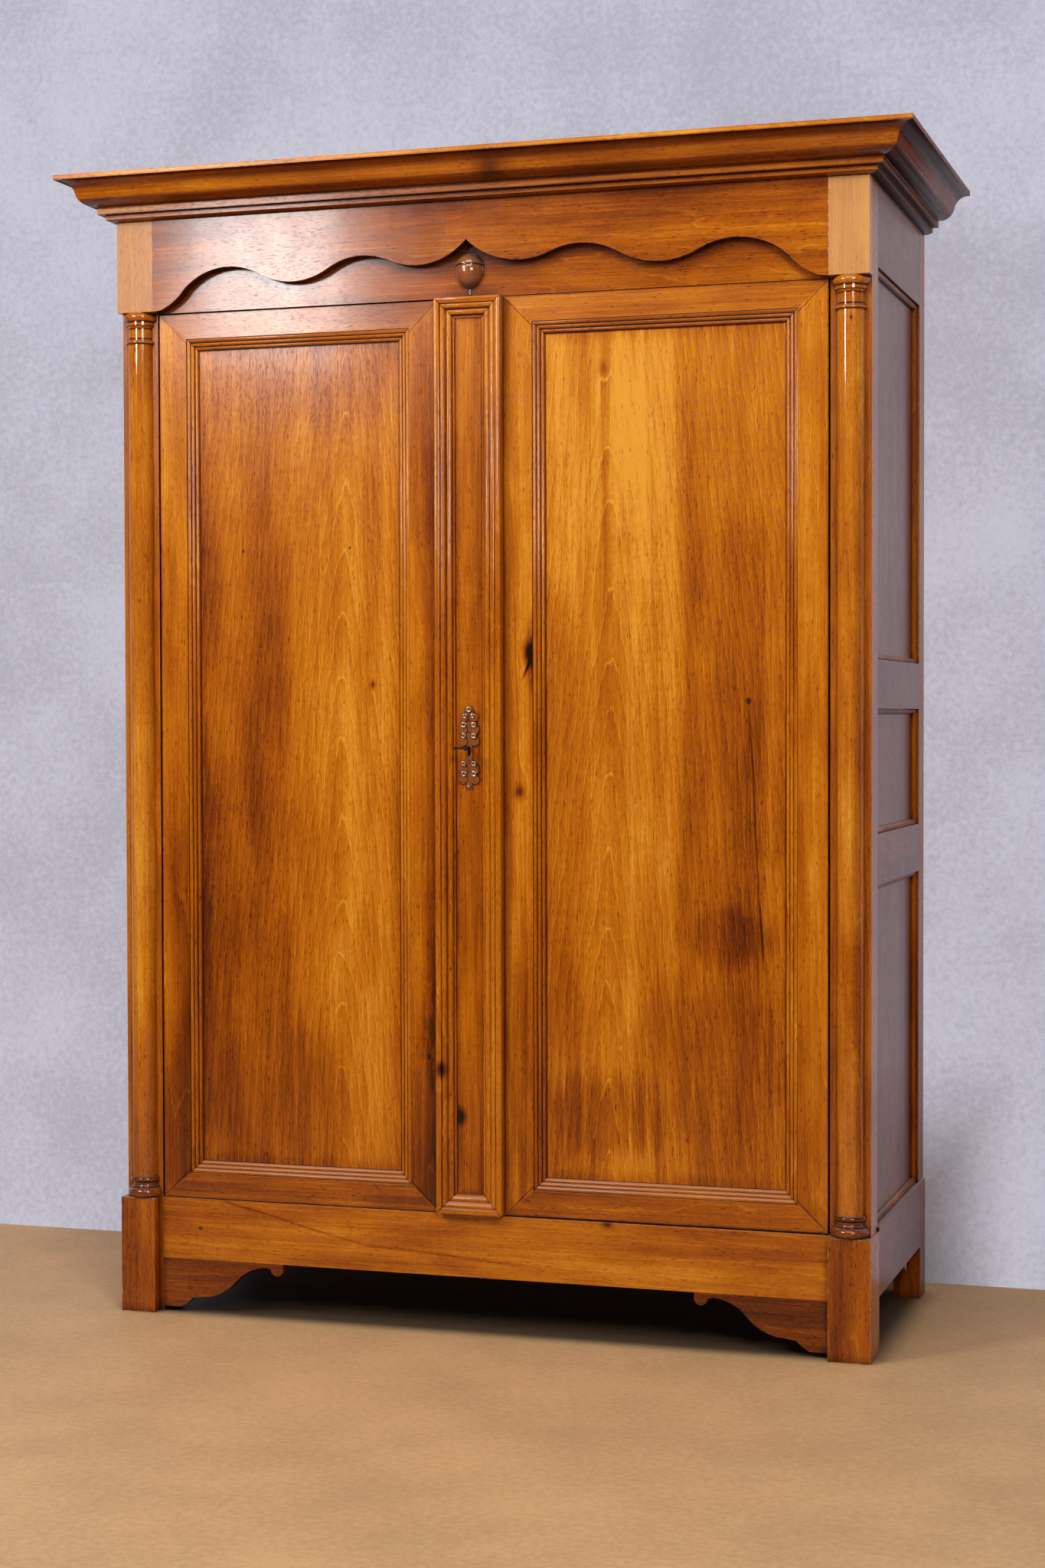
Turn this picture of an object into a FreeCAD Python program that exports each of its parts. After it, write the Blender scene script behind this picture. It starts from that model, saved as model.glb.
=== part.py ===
import FreeCAD, Part
import os
import re
import Sketcher
from FreeCAD import Placement, Rotation, Vector

# A two-door walnut wardrobe: a frame-and-panel carcase on block feet, half columns at
# the front corners, a scalloped frieze with a turned drop, and a deep cornice.
# X runs to the right, Y to the back and Z up; the origin is on the floor, in the middle.
# All sizes are in millimetres.

os.makedirs("parts", exist_ok=True)
doc = FreeCAD.newDocument("wardrobe")

# Driving dimensions

SIZES = {
    # carcase as a whole
    "body_width": "1496",
    "body_depth": "632",
    "frieze_top": "2158",
    "front_setback": "24",
    "centre_offset": "21",
    "plinth_step": "4",
    "left_foot_inset": "8",
    "cut_overrun": "5",
    # cornice: how far it stands out, and the heights and steps of its moulding
    "cornice_height": "82",
    "cornice_overhang": "92",
    "cornice_seat": "20",
    "cornice_top_fillet": "9",
    "cornice_cyma_width": "63",
    "cornice_cyma_height": "46",
    "cornice_fillet_height": "12",
    "cornice_fillet_step": "11.5",
    "cornice_bead_height": "13",
    "cornice_bead_step": "17",
    "dust_board_thickness": "14",
    "dust_board_gap": "0.5",
    # front corner posts with their rebates, rear posts, feet and frieze blocks
    "post_width": "76",
    "post_depth": "64",
    "post_lip": "12",
    "door_back_gap": "3",
    "rear_post_width": "50",
    "rear_post_depth": "64",
    "foot_height": "228",
    "frieze_height": "178",
    # half columns on the corner posts
    "column_sink": "3",
    "shaft_radius": "26",
    "capital_height": "61",
    "capital_radius": "35",
    "capital_ring_height": "17",
    "capital_lip_radius": "30",
    "capital_lip_height": "7",
    "capital_neck_radius": "25.5",
    "astragal_radius": "30",
    "astragal_height": "7",
    "base_height": "40",
    "base_radius": "36",
    "base_torus_height": "19",
    "base_fillet_radius": "30",
    "base_fillet_height": "3",
    "base_scotia_radius": "27.5",
    "base_scotia_height": "10",
    "base_ring_radius": "31",
    # frieze: structural rail, scalloped board and turned drop
    "frieze_rail_height": "179",
    "front_rail_thickness": "27",
    "drop_height": "76",
    "drop_cap_radius": "27",
    "drop_cap_height": "20",
    "drop_nut_radius": "25",
    "drop_pin_radius": "3",
    "drop_pin_length": "10",
    "drop_above_head": "5",
    "drop_groove": "1.5",
    "drop_sink": "1",
    # front bottom rail and its ogee brackets
    "front_rail_height": "121",
    "bracket_height": "97",
    "bracket_length": "257",
    "bracket_thickness": "24",
    # side frames and panels
    "side_rail_thickness": "28",
    "side_clearance": "106",
    "side_bottom_rail_height": "130",
    "side_lower_panel_height": "633",
    "side_lower_rail_height": "95",
    "side_middle_panel_height": "232",
    "side_upper_rail_height": "91",
    "side_top_rail_height": "152",
    "side_nub_width": "20",
    "side_nub_drop": "11",
    "side_nub_from_rear_post": "170",
    "panel_thickness": "10",
    "panel_recess": "14",
    "panel_tongue": "8",
    "panel_float": "1",
    # back frame and panels
    "back_rail_thickness": "26",
    "back_bottom_rail_height": "110",
    "back_bottom_rail_foot": "130",
    "back_middle_rail_height": "90",
    "back_middle_rail_foot": "1060",
    "back_top_rail_height": "130",
    "back_muntin_width": "110",
    "back_panel_recess": "10",
    # floor, shelf and hanging rail
    "floor_thickness": "18",
    "floor_top": "214",
    "cleat_width": "24",
    "cleat_height": "30",
    "inner_gap": "0.5",
    "shelf_thickness": "20",
    "shelf_drop": "413",
    "hanging_rail_radius": "15",
    "hanging_rail_drop": "45",
    "socket_thickness": "22",
    "socket_width": "60",
    "socket_height": "80",
    # doors
    "door_side_gap": "3.5",
    "door_meeting_gap": "2",
    "door_play": "5",
    "left_door_lift": "1.8",
    "right_door_lift": "3.4",
    "door_thickness": "26",
    "stile_width": "57",
    "door_rail_width": "49",
    "door_panel_depth": "11",
    "moulding_width": "24",
    "moulding_sink": "1",
    # cover strip on the right door's meeting edge
    "batten_width": "131",
    "batten_moulding_width": "39",
    "batten_moulding_height": "13",
    # pivots
    "pivot_inset": "9",
    "pivot_depth": "7",
    "pivot_radius": "4",
    "pivot_reach": "12",
    "pivot_hold": "22",
    "pivot_clearance": "0.05",
    "collar_radius": "7",
    "collar_clearance": "0.3",
    # lock, bolt, keeper and key
    "keyhole_height": "1123",
    "lock_width": "100",
    "lock_height": "96",
    "lock_depth": "16",
    "lock_wall": "2",
    "lock_inset": "2",
    "lock_axis_from_foot": "48",
    "bolt_length": "92",
    "bolt_height": "20",
    "bolt_thickness": "8",
    "bolt_above_key": "9",
    "bolt_travel": "12",
    "bolt_clearance": "0.4",
    "talon_width": "30",
    "keeper_width": "22",
    "keeper_flange": "14",
    "keeper_setback": "2",
    "keeper_wall": "2",
    "key_shank_radius": "3",
    "key_shank_clearance": "0.3",
    "key_bit_reach": "14",
    "key_bit_width": "9",
    "key_bit_thickness": "3",
    "key_stand_out": "30",
    "key_bow_width": "34",
    "key_bow_depth": "26",
    "key_bow_bar": "5",
    "key_bow_thickness": "4",
    "key_collar_radius": "4.5",
    "key_collar_length": "5",
    "keyhole_slot_width": "4.5",
    # pierced keyhole plate
    "plate_thickness": "2",
    "plate_height": "158",
    "plate_stem_width": "13",
    "plate_boss_radius": "8.5",
    "plate_boss_height": "4",
    "plate_boss_spread": "12",
    # two slide bolts behind the left door
    "slide_bolt_length": "110",
    "slide_bolt_width": "12",
    "slide_bolt_thickness": "5",
    "slide_bolt_retreat": "2",
    "slide_plate_width": "30",
    "slide_plate_height": "76",
    "slide_plate_thickness": "3",
    "slide_plate_inset": "14",
    "slide_guide_height": "12",
    "slide_guide_wall": "2",
    "slide_knob_radius": "5",
    "slide_knob_length": "9",
}

# Places that follow from the driving dimensions

PLACES = {
    "half_width": "body_width / 2",
    "plinth_x": "half_width + plinth_step",
    "front_y": "cornice_overhang - (body_depth + cornice_overhang) / 2",
    "rear_y": "front_y + body_depth",
    "setback_y": "front_y + front_setback",
    "front_rail_back_y": "setback_y + front_rail_thickness",
    "post_back_y": "setback_y + post_depth",
    "rear_post_y": "rear_y - rear_post_depth",
    "post_x": "half_width - post_width",
    "lip_x": "post_x - post_lip",
    "lip_y": "setback_y + door_thickness + door_back_gap",
    "rear_post_x": "half_width - rear_post_width",
    "column_x": "half_width - post_width / 2",
    "column_y": "setback_y + column_sink",
    "block_bottom": "frieze_top - frieze_height",
    "door_head": "frieze_top - frieze_rail_height",
    "door_height": "door_head - foot_height - door_play",
    "shaft_foot": "foot_height + base_height",
    "shaft_head": "block_bottom - capital_height",
    "side_rail_x": "half_width - side_rail_thickness",
    "panel_outer_x": "half_width - panel_recess",
    "panel_inner_x": "panel_outer_x - panel_thickness",
    "side_panel_low": "side_clearance + side_bottom_rail_height",
    "side_rail_low": "side_panel_low + side_lower_panel_height",
    "side_panel_middle": "side_rail_low + side_lower_rail_height",
    "side_rail_high": "side_panel_middle + side_middle_panel_height",
    "side_panel_high": "side_rail_high + side_upper_rail_height",
    "side_top_rail_foot": "frieze_top - side_top_rail_height",
    "tongue_seat": "panel_tongue - panel_float",
    "back_rail_y": "rear_y - back_rail_thickness",
    "back_panel_y": "rear_y - back_panel_recess - panel_thickness",
    "back_panel_low": "back_bottom_rail_foot + back_bottom_rail_height",
    "back_panel_high": "back_middle_rail_foot + back_middle_rail_height",
    "back_top_rail_foot": "frieze_top - back_top_rail_height",
    "front_rail_foot": "foot_height - front_rail_height",
    "floor_bottom": "floor_top - floor_thickness",
    "shelf_top": "frieze_top - shelf_drop",
    "shelf_bottom": "shelf_top - shelf_thickness",
    "shelf_cleat_foot": "shelf_bottom - cleat_height",
    "hanging_rail_y": "(post_back_y + rear_post_y) / 2",
    "hanging_rail_z": "shelf_cleat_foot - hanging_rail_drop",
    "inner_x": "side_rail_x - inner_gap",
    "socket_x": "side_rail_x - socket_thickness",
    "batten_left": "-centre_offset - batten_width / 2",
    "batten_right": "-centre_offset + batten_width / 2",
    "left_door_left": "door_side_gap - post_x",
    "left_door_right": "batten_left - door_meeting_gap",
    "right_door_right": "post_x - door_side_gap",
    "left_door_foot": "foot_height + left_door_lift",
    "right_door_foot": "foot_height + right_door_lift",
    "door_back_y": "setback_y + door_thickness",
    "door_panel_y": "setback_y + door_panel_depth",
    "batten_panel_y": "front_y + batten_moulding_height",
    "pivot_x": "post_x - door_side_gap - pivot_inset",
    "pivot_y": "setback_y + pivot_depth",
    "lock_left": "batten_left + lock_inset",
    "lock_right": "lock_left + lock_width",
    "lock_foot": "keyhole_height - lock_axis_from_foot",
    "lock_back_y": "door_back_y + lock_depth",
    "bolt_foot": "keyhole_height + bolt_above_key",
    "bolt_y": "door_back_y + (lock_depth - bolt_thickness) / 2",
    "keeper_right": "left_door_right - keeper_setback",
    "keeper_left": "keeper_right - keeper_width",
    "slide_bolt_x": "left_door_right - stile_width / 2",
    "slide_bolt_y": "door_back_y + slide_plate_thickness",
    "cornice_inner_x": "half_width - cornice_seat",
    "cornice_inner_y": "front_y + cornice_seat",
}

sheet = doc.addObject("Spreadsheet::Sheet", "sizes")
for row, (name, text) in enumerate(SIZES.items(), 1):
    sheet.set(f"A{row}", name)
    sheet.set(f"B{row}", text)
    sheet.setAlias(f"B{row}", name)
for row, (name, text) in enumerate(PLACES.items(), len(SIZES) + 1):
    sheet.set(f"A{row}", name)
    sheet.set(f"B{row}", "=" + text)
    sheet.setAlias(f"B{row}", name)
doc.recompute()

SUBPARTS = []


def formula(text):
    """A formula on the sheet's names, as other objects of the document write it."""
    known = lambda word: word.group() in SIZES or word.group() in PLACES
    return re.sub(r"[a-z_]+", lambda word: ("sizes." if known(word) else "") + word.group(), text)


def value(text):
    """The present value of such a formula."""
    return float(sheet.evalExpression(formula(text)))


def tie(item, path, text):
    """Binds a property of an object to a formula."""
    item.setExpression(path, formula(text))


def place(item, corner, rotation=None):
    """Binds an object's position to three formulas, and turns it if asked."""
    if rotation:
        item.Placement = Placement(Vector(), rotation)
    for axis, text in zip("xyz", corner):
        tie(item, f"Placement.Base.{axis}", text)


def subpart(item, label):
    """Names a finished piece and adds it to those that are written."""
    item.Label = label
    SUBPARTS.append(item)
    return item


def board(name, low, high):
    """A square-edged board between two corners, each given as three formulas."""
    item = doc.addObject("Part::Box", name)
    for side, start, end in zip(("Length", "Width", "Height"), low, high):
        tie(item, side, f"({end}) - ({start})")
    place(item, low)
    return item


def rod(name, radius, length, foot, rotation=None):
    """A round bar from its foot, upright unless it is turned."""
    item = doc.addObject("Part::Cylinder", name)
    tie(item, "Radius", radius)
    tie(item, "Height", length)
    place(item, foot, rotation)
    return item


def joined(name, *pieces):
    """Several shapes made one."""
    item = doc.addObject("Part::MultiFuse", name)
    item.Shapes = list(pieces)
    return item


def cut(name, base, *tools):
    """A shape with others taken out of it."""
    item = doc.addObject("Part::Cut", name)
    item.Base = base
    item.Tool = tools[0] if len(tools) == 1 else joined(name + "_tools", *tools)
    return item


def gathered(name, *pieces):
    """Separate solids kept together in one sub-part."""
    item = doc.addObject("Part::Compound", name)
    item.Links = list(pieces)
    return item


def draw(body, plane, *outlines):
    """A sketch of closed outlines on a plane of the body's origin.

    A stop is (across, up), or (across, up, through_across, through_up) where an arc
    through the second place leads to the first one. All are formulas.
    """
    sketch = body.newObject("Sketcher::SketchObject", body.Name + "_sketch")
    origin_plane = [item for item in body.Origin.OriginFeatures if item.Role == plane][0]
    sketch.AttachmentSupport = (origin_plane, [""])
    sketch.MapMode = "FlatFace"

    def pin(geometry, point, across, up):
        for kind, text in (("DistanceX", across), ("DistanceY", up)):
            rule = Sketcher.Constraint(kind, -1, 1, geometry, point, value(text))
            tie(sketch, f"Constraints[{sketch.addConstraint(rule)}]", text)

    for outline in outlines:
        corners = [Vector(value(stop[0]), value(stop[1]), 0) for stop in outline]
        edges = []
        for index, stop in enumerate(outline):
            start, end = corners[index - 1], corners[index]
            if len(stop) == 2:
                edges.append((sketch.addGeometry(Part.LineSegment(start, end)), 1, 2))
                continue
            middle = Vector(value(stop[2]), value(stop[3]), 0)
            if (middle - start).cross(end - middle).z > 0:
                edges.append((sketch.addGeometry(Part.Arc(start, middle, end)), 1, 2))
            else:
                edges.append((sketch.addGeometry(Part.Arc(end, middle, start)), 2, 1))
        for index, stop in enumerate(outline):
            edge, first, last = edges[index]
            following, start_point, _ = edges[(index + 1) % len(edges)]
            sketch.addConstraint(Sketcher.Constraint("Coincident", edge, last, following, start_point))
            pin(edge, last, stop[0], stop[1])
            if len(stop) == 4:
                middle = Vector(value(stop[2]), value(stop[3]), 0)
                mark = sketch.addGeometry(Part.Point(middle), True)
                sketch.addConstraint(Sketcher.Constraint("PointOnObject", mark, 1, edge))
                pin(mark, 1, stop[2], stop[3])
    return sketch


def sawn(name, plane, thickness, corner, outline, rotation=None):
    """A piece sawn to an outline: the sketch is padded away from its plane."""
    body = doc.addObject("PartDesign::Body", name)
    pad = body.newObject("PartDesign::Pad", name + "_pad")
    pad.Profile = draw(body, plane, outline)
    pad.Reversed = plane == "XZ_Plane"
    tie(pad, "Length", thickness)
    body.Tip = pad
    place(body, corner, rotation)
    return body


def turned(name, corner, outline):
    """A piece turned about its own upright axis: the outline's stops are radius and height."""
    body = doc.addObject("PartDesign::Body", name)
    sketch = draw(body, "XZ_Plane", outline)
    turning = body.newObject("PartDesign::Revolution", name + "_turning")
    turning.Profile = sketch
    turning.ReferenceAxis = (sketch, ["V_Axis"])
    turning.Angle = 360
    body.Tip = turning
    place(body, corner)
    return body


def planted(name, corner, outline, flat, widest):
    """A turning with its back planed off, flat in front of its axis, to be planted on a face."""
    body = turned(name, corner, outline)
    wide = f"({widest} + cut_overrun)"
    waste = draw(body, "XY_Plane", [
        (f"-{wide}", f"-({flat})"), (wide, f"-({flat})"), (wide, wide), (f"-{wide}", wide)])
    planing = body.newObject("PartDesign::Pocket", name + "_planing")
    planing.Profile = waste
    planing.Type = "ThroughAll"
    planing.Midplane = True
    body.Tip = planing
    return body


def mitred(name, outline, length, width, run, corner, turn):
    """A strip with mitred ends: the outline's stops are depth and distance in from the outer edge."""
    body = doc.addObject("PartDesign::Body", name)
    pad = body.newObject("PartDesign::Pad", name + "_pad")
    pad.Profile = draw(body, "YZ_Plane", outline)
    tie(pad, "Length", length)
    body.Tip = pad
    over = "cut_overrun"
    slope = f"({run}) * {over} / ({width})"
    ends = draw(
        body, "XZ_Plane",
        [(f"-({slope})", f"-{over}"), (f"({run}) + {slope}", f"({width}) + {over}"),
         (f"-({slope})", f"({width}) + {over}")],
        [(f"({length}) + {slope}", f"-{over}"), (f"({length}) + {slope}", f"({width}) + {over}"),
         (f"({length}) - ({run}) - {slope}", f"({width}) + {over}")])
    mitring = body.newObject("PartDesign::Pocket", name + "_mitring")
    mitring.Profile = ends
    mitring.Type = "ThroughAll"
    mitring.Midplane = True
    body.Tip = mitring
    place(body, corner, Rotation(Vector(0, 1, 0), turn))
    return body


def mitred_frame(name, outline, width, left, right, foot, head, y):
    """Four mitred strips round an opening: bottom, right, top and left."""
    wide, tall = f"({right}) - ({left})", f"({head}) - ({foot})"
    sides = (("bottom", wide, left, foot, 0), ("right", tall, right, foot, -90),
             ("top", wide, right, head, 180), ("left", tall, left, head, 90))
    return [mitred(f"{name}_{side}", outline, length, width, width, (x, y, z), turn)
            for side, length, x, z, turn in sides]


# Corner posts, feet and frieze blocks

def corner_post(side, sign):
    """A front post: full height, faced out to the plinth, rebated behind the door's edge."""
    outline = [
        (f"{sign} * post_x", "setback_y"), (f"{sign} * half_width", "setback_y"),
        (f"{sign} * half_width", "post_back_y"), (f"{sign} * lip_x", "post_back_y"),
        (f"{sign} * lip_x", "lip_y"), (f"{sign} * post_x", "lip_y")]
    shaft = sawn(f"post_{side}", "XY_Plane", "frieze_top", ("0", "0", "0"), outline)
    facing = side_board(f"post_{side}_facing", sign, "half_width", "plinth_x", "setback_y",
                        "post_back_y", "0", "foot_height")
    post = joined(f"faced_post_{side}", shaft, facing)
    groove = panel_groove(f"post_{side}_groove", sign, "post_back_y - panel_tongue",
                          "post_back_y + cut_overrun", "side_clearance", "frieze_top + cut_overrun")
    return cut(f"grooved_post_{side}", post, groove)


def span(sign, inner, outer):
    """The lower and the higher of two places on one side of the middle."""
    return (inner, outer) if sign > 0 else (f"-({outer})", f"-({inner})")


def side_board(name, sign, inner, outer, y_low, y_high, z_low, z_high):
    """A board on one side of the wardrobe, its width given from the middle outwards."""
    left, right = span(sign, inner, outer)
    return board(name, (left, y_low, z_low), (right, y_high, z_high))


def panel_groove(name, sign, y_low, y_high, z_low, z_high):
    """The groove that a side panel's edge sits in."""
    return side_board(name, sign, "panel_inner_x", "panel_outer_x", y_low, y_high, z_low, z_high)


def rear_post(side, sign):
    """A rear post, faced out to the plinth and grooved for the side and back panels."""
    shaft = side_board(f"rear_post_{side}", sign, "rear_post_x", "half_width",
                       "rear_post_y", "rear_y", "0", "frieze_top")
    facing = side_board(f"rear_post_{side}_facing", sign, "half_width", "plinth_x",
                        "rear_post_y", "rear_y", "0", "side_panel_low")
    post = joined(f"faced_rear_post_{side}", shaft, facing)
    side_groove = panel_groove(f"rear_post_{side}_side_groove", sign, "rear_post_y - cut_overrun",
                               "rear_post_y + panel_tongue", "side_clearance", "frieze_top + cut_overrun")
    back_groove = side_board(f"rear_post_{side}_back_groove", sign, "rear_post_x - cut_overrun",
                             "rear_post_x + panel_tongue", "back_panel_y",
                             "back_panel_y + panel_thickness", "back_bottom_rail_foot",
                             "frieze_top + cut_overrun")
    return cut(f"grooved_rear_post_{side}", post, side_groove, back_groove)


SIDES = (("left", -1), ("right", 1))
FOOT_INNER = {"left": "post_x + left_foot_inset", "right": "post_x"}

for side, sign in SIDES:
    subpart(corner_post(side, sign), f"post_front_{side}")
    subpart(rear_post(side, sign), f"post_rear_{side}")
    subpart(side_board(f"foot_{side}", sign, FOOT_INNER[side], "plinth_x", "front_y", "setback_y",
                       "0", "foot_height"), f"foot_block_{side}")
    subpart(side_board(f"block_{side}", sign, "post_x", "half_width", "front_y", "setback_y",
                       "block_bottom", "frieze_top"), f"frieze_block_{side}")

# Half columns: base, shaft and capital

BASE_OUTLINE = [
    ("0", "0"), ("base_radius - base_torus_height / 2", "0"),
    ("base_radius - base_torus_height / 2", "base_torus_height",
     "base_radius", "base_torus_height / 2"),
    ("base_fillet_radius - base_fillet_height / 2", "base_torus_height"),
    ("base_fillet_radius - base_fillet_height / 2", "base_torus_height + base_fillet_height",
     "base_fillet_radius", "base_torus_height + base_fillet_height / 2"),
    ("base_fillet_radius - base_fillet_height / 2",
     "base_torus_height + base_fillet_height + base_scotia_height",
     "base_scotia_radius - base_fillet_height / 2",
     "base_torus_height + base_fillet_height + base_scotia_height / 2"),
    ("base_ring_radius - base_fillet_height",
     "base_height", "base_ring_radius",
     "(base_torus_height + base_fillet_height + base_scotia_height + base_height) / 2"),
    ("0", "base_height")]

SHAFT_OUTLINE = [
    ("0", "0"), ("shaft_radius", "0"), ("shaft_radius", "shaft_head - shaft_foot"),
    ("0", "shaft_head - shaft_foot")]

CAPITAL_OUTLINE = [
    ("0", "0"), ("astragal_radius - astragal_height / 2", "0"),
    ("astragal_radius - astragal_height / 2", "astragal_height",
     "astragal_radius", "astragal_height / 2"),
    ("capital_neck_radius", "astragal_height"),
    ("capital_neck_radius", "capital_height - capital_ring_height - 2 * capital_lip_height"),
    ("capital_lip_radius", "capital_height - capital_ring_height - capital_lip_height",
     "(2 * capital_neck_radius + capital_lip_radius) / 3",
     "capital_height - capital_ring_height - 1.3 * capital_lip_height"),
    ("capital_lip_radius", "capital_height - capital_ring_height"),
    ("capital_radius - capital_ring_height / 3", "capital_height",
     "capital_radius", "capital_height - capital_ring_height / 2"),
    ("0", "capital_height")]

for side, sign in SIDES:
    middle = f"{sign} * column_x"
    subpart(planted(f"base_{side}", (middle, "column_y", "foot_height"), BASE_OUTLINE,
                    "column_sink", "base_radius"), f"column_base_{side}")
    subpart(planted(f"shaft_{side}", (middle, "column_y", "shaft_foot"), SHAFT_OUTLINE,
                    "column_sink", "shaft_radius"), f"column_shaft_{side}")
    subpart(planted(f"capital_{side}", (middle, "column_y", "shaft_head"), CAPITAL_OUTLINE,
                    "column_sink", "capital_radius"), f"column_capital_{side}")

# Frieze: rail over the doors, scalloped board in front of it, turned drop under its apex

# each scallop: where its arc ends and where it passes, as shares of the half opening and
# of the frieze's height, from the apex outwards
SCALLOP_SHARES = [
    (0.24, 0.416, 0.12, 0.356),
    (0.43, 0.371, 0.33, 0.483),
    (0.645, 0.337, 0.54, 0.247),
    (0.895, 0.236, 0.765, 0.447),
    (0.975, 0.011, 0.937, 0.084)]
APEX_SHARE = 0.59


def scallops():
    """The scalloped edge and the straight top of the frieze board, from the left block round."""
    def stop(sign, across, up):
        reach = f"(post_x + {sign} * centre_offset)"
        return f"-centre_offset + {sign * across} * {reach}", f"{up} * frieze_height"

    outline = [("post_x", "frieze_height"), ("-post_x", "frieze_height"), ("-post_x", "0")]
    outward = [(0, APEX_SHARE)] + [share[:2] for share in SCALLOP_SHARES]
    outline.append(stop(-1, *outward[-1]))
    for index in range(len(SCALLOP_SHARES) - 1, -1, -1):
        outline.append(stop(-1, *outward[index]) + stop(-1, *SCALLOP_SHARES[index][2:]))
    for share in SCALLOP_SHARES:
        outline.append(stop(1, *share[:2]) + stop(1, *share[2:]))
    outline.append(("post_x", "0"))
    return outline


subpart(sawn("scalloped_board", "XZ_Plane", "front_setback", ("0", "front_y", "block_bottom"),
             scallops()), "frieze_board")


def pivot_bore(name, sign, foot, length):
    """The bore that a door's pivot pin turns in."""
    return rod(name, "pivot_radius + pivot_clearance", length, (f"{sign} * pivot_x", "pivot_y", foot))


frieze_rail = board("frieze_rail_board", ("-post_x", "setback_y", "door_head"),
                    ("post_x", "front_rail_back_y", "frieze_top"))
subpart(cut("bored_frieze_rail", frieze_rail,
            *[pivot_bore(f"head_bore_{side}", sign, "door_head - cut_overrun",
                         "pivot_reach + collar_clearance + cut_overrun") for side, sign in SIDES]),
        "frieze_rail")

DROP_OUTLINE = [
    ("0", "0"), ("drop_pin_radius", "0"), ("drop_pin_radius", "drop_pin_length"),
    ("drop_nut_radius", "drop_height - drop_cap_height - drop_groove",
     "0.72 * drop_nut_radius", "drop_pin_length + 0.18 * (drop_height - drop_cap_height)"),
    ("drop_nut_radius - drop_groove", "drop_height - drop_cap_height - drop_groove"),
    ("drop_nut_radius - drop_groove", "drop_height - drop_cap_height"),
    ("drop_cap_radius", "drop_height - drop_cap_height"),
    ("0", "drop_height", "0.8 * drop_cap_radius", "drop_height - 0.4 * drop_cap_height")]
subpart(planted("drop", ("-centre_offset", "setback_y + drop_sink", "door_head + drop_above_head"),
                DROP_OUTLINE, "drop_sink", "drop_cap_radius"), "acorn_drop")

# Front bottom rail and its brackets

bottom_rail = board("bottom_rail_board", ("-post_x", "setback_y", "front_rail_foot"),
                    ("post_x", "front_rail_back_y", "foot_height"))
subpart(cut("bored_bottom_rail", bottom_rail,
            *[pivot_bore(f"foot_bore_{side}", sign,
                         "foot_height - pivot_reach - collar_clearance",
                         "pivot_reach + collar_clearance + cut_overrun") for side, sign in SIDES]),
        "front_bottom_rail")

# a bracket's lower edge from the foot outwards, as shares of its length and height
BRACKET_SHARES = [
    (0.145, 0.0), (0.245, 0.2, 0.185, 0.06), (0.395, 0.245, 0.32, 0.225),
    (0.6, 0.56, 0.51, 0.37), (0.865, 0.915, 0.72, 0.82), (0.9, 0.885),
    (1.0, 0.89, 0.945, 0.755)]


def bracket(side, sign):
    """An ogee bracket with a rounded nub at its tip, under the rail and beside the foot."""
    outline = [("0", "0")]
    for share in BRACKET_SHARES:
        stop = [f"{sign * -part} * bracket_length" if place_ % 2 == 0 else f"{part} * bracket_height"
                for place_, part in enumerate(share)]
        outline.append(tuple(stop))
    outline += [(f"{-sign} * bracket_length", "bracket_height"), ("0", "bracket_height")]
    return sawn(f"bracket_board_{side}", "XZ_Plane", "bracket_thickness",
                (f"{sign} * post_x", "setback_y", "front_rail_foot - bracket_height"), outline)


for side, sign in SIDES:
    subpart(bracket(side, sign), f"bracket_{side}")

# Side frames: rails between the posts, and their panels


def side_rail(side, sign, name, foot, head, grooved_above, grooved_below, face="half_width"):
    """A side rail with a stub tenon at each end, grooved where a panel meets it."""
    core = side_board(f"{name}_{side}_core", sign, "side_rail_x", face,
                      "post_back_y", "rear_post_y", foot, head)
    tenon = panel_groove(f"{name}_{side}_tenon", sign, "post_back_y - panel_tongue",
                         "rear_post_y + panel_tongue", foot, head)
    rail = joined(f"{name}_{side}_rail", core, tenon)
    grooves = []
    if grooved_above:
        grooves.append(panel_groove(f"{name}_{side}_upper_groove", sign,
                                    "post_back_y - panel_tongue", "rear_post_y + panel_tongue",
                                    f"{head} - panel_tongue", f"{head} + cut_overrun"))
    if grooved_below:
        grooves.append(panel_groove(f"{name}_{side}_lower_groove", sign,
                                    "post_back_y - panel_tongue", "rear_post_y + panel_tongue",
                                    f"{foot} - cut_overrun", f"{foot} + panel_tongue"))
    return cut(f"{name}_{side}_grooved", rail, *grooves)


def side_nub(side, sign):
    """The small rounded tip that hangs under the side's bottom rail."""
    left, _ = span(sign, "side_rail_x", "plinth_x")
    outline = [
        ("0", "side_nub_drop"), ("0", "side_nub_width / 2"),
        ("side_nub_width", "side_nub_width / 2", "side_nub_width / 2", "0"),
        ("side_nub_width", "side_nub_drop")]
    return sawn(f"nub_{side}", "YZ_Plane", "side_rail_thickness + plinth_step",
                (left, "rear_post_y - side_nub_from_rear_post - side_nub_width",
                 "side_clearance - side_nub_drop"), outline)


def side_panel(side, sign, name, foot, head):
    """A side panel, its edges let into the grooves round it."""
    return side_board(f"{name}_{side}", sign, "panel_inner_x", "panel_outer_x",
                      "post_back_y - tongue_seat", "rear_post_y + tongue_seat",
                      f"{foot} - tongue_seat", f"{head} + tongue_seat")


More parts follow.
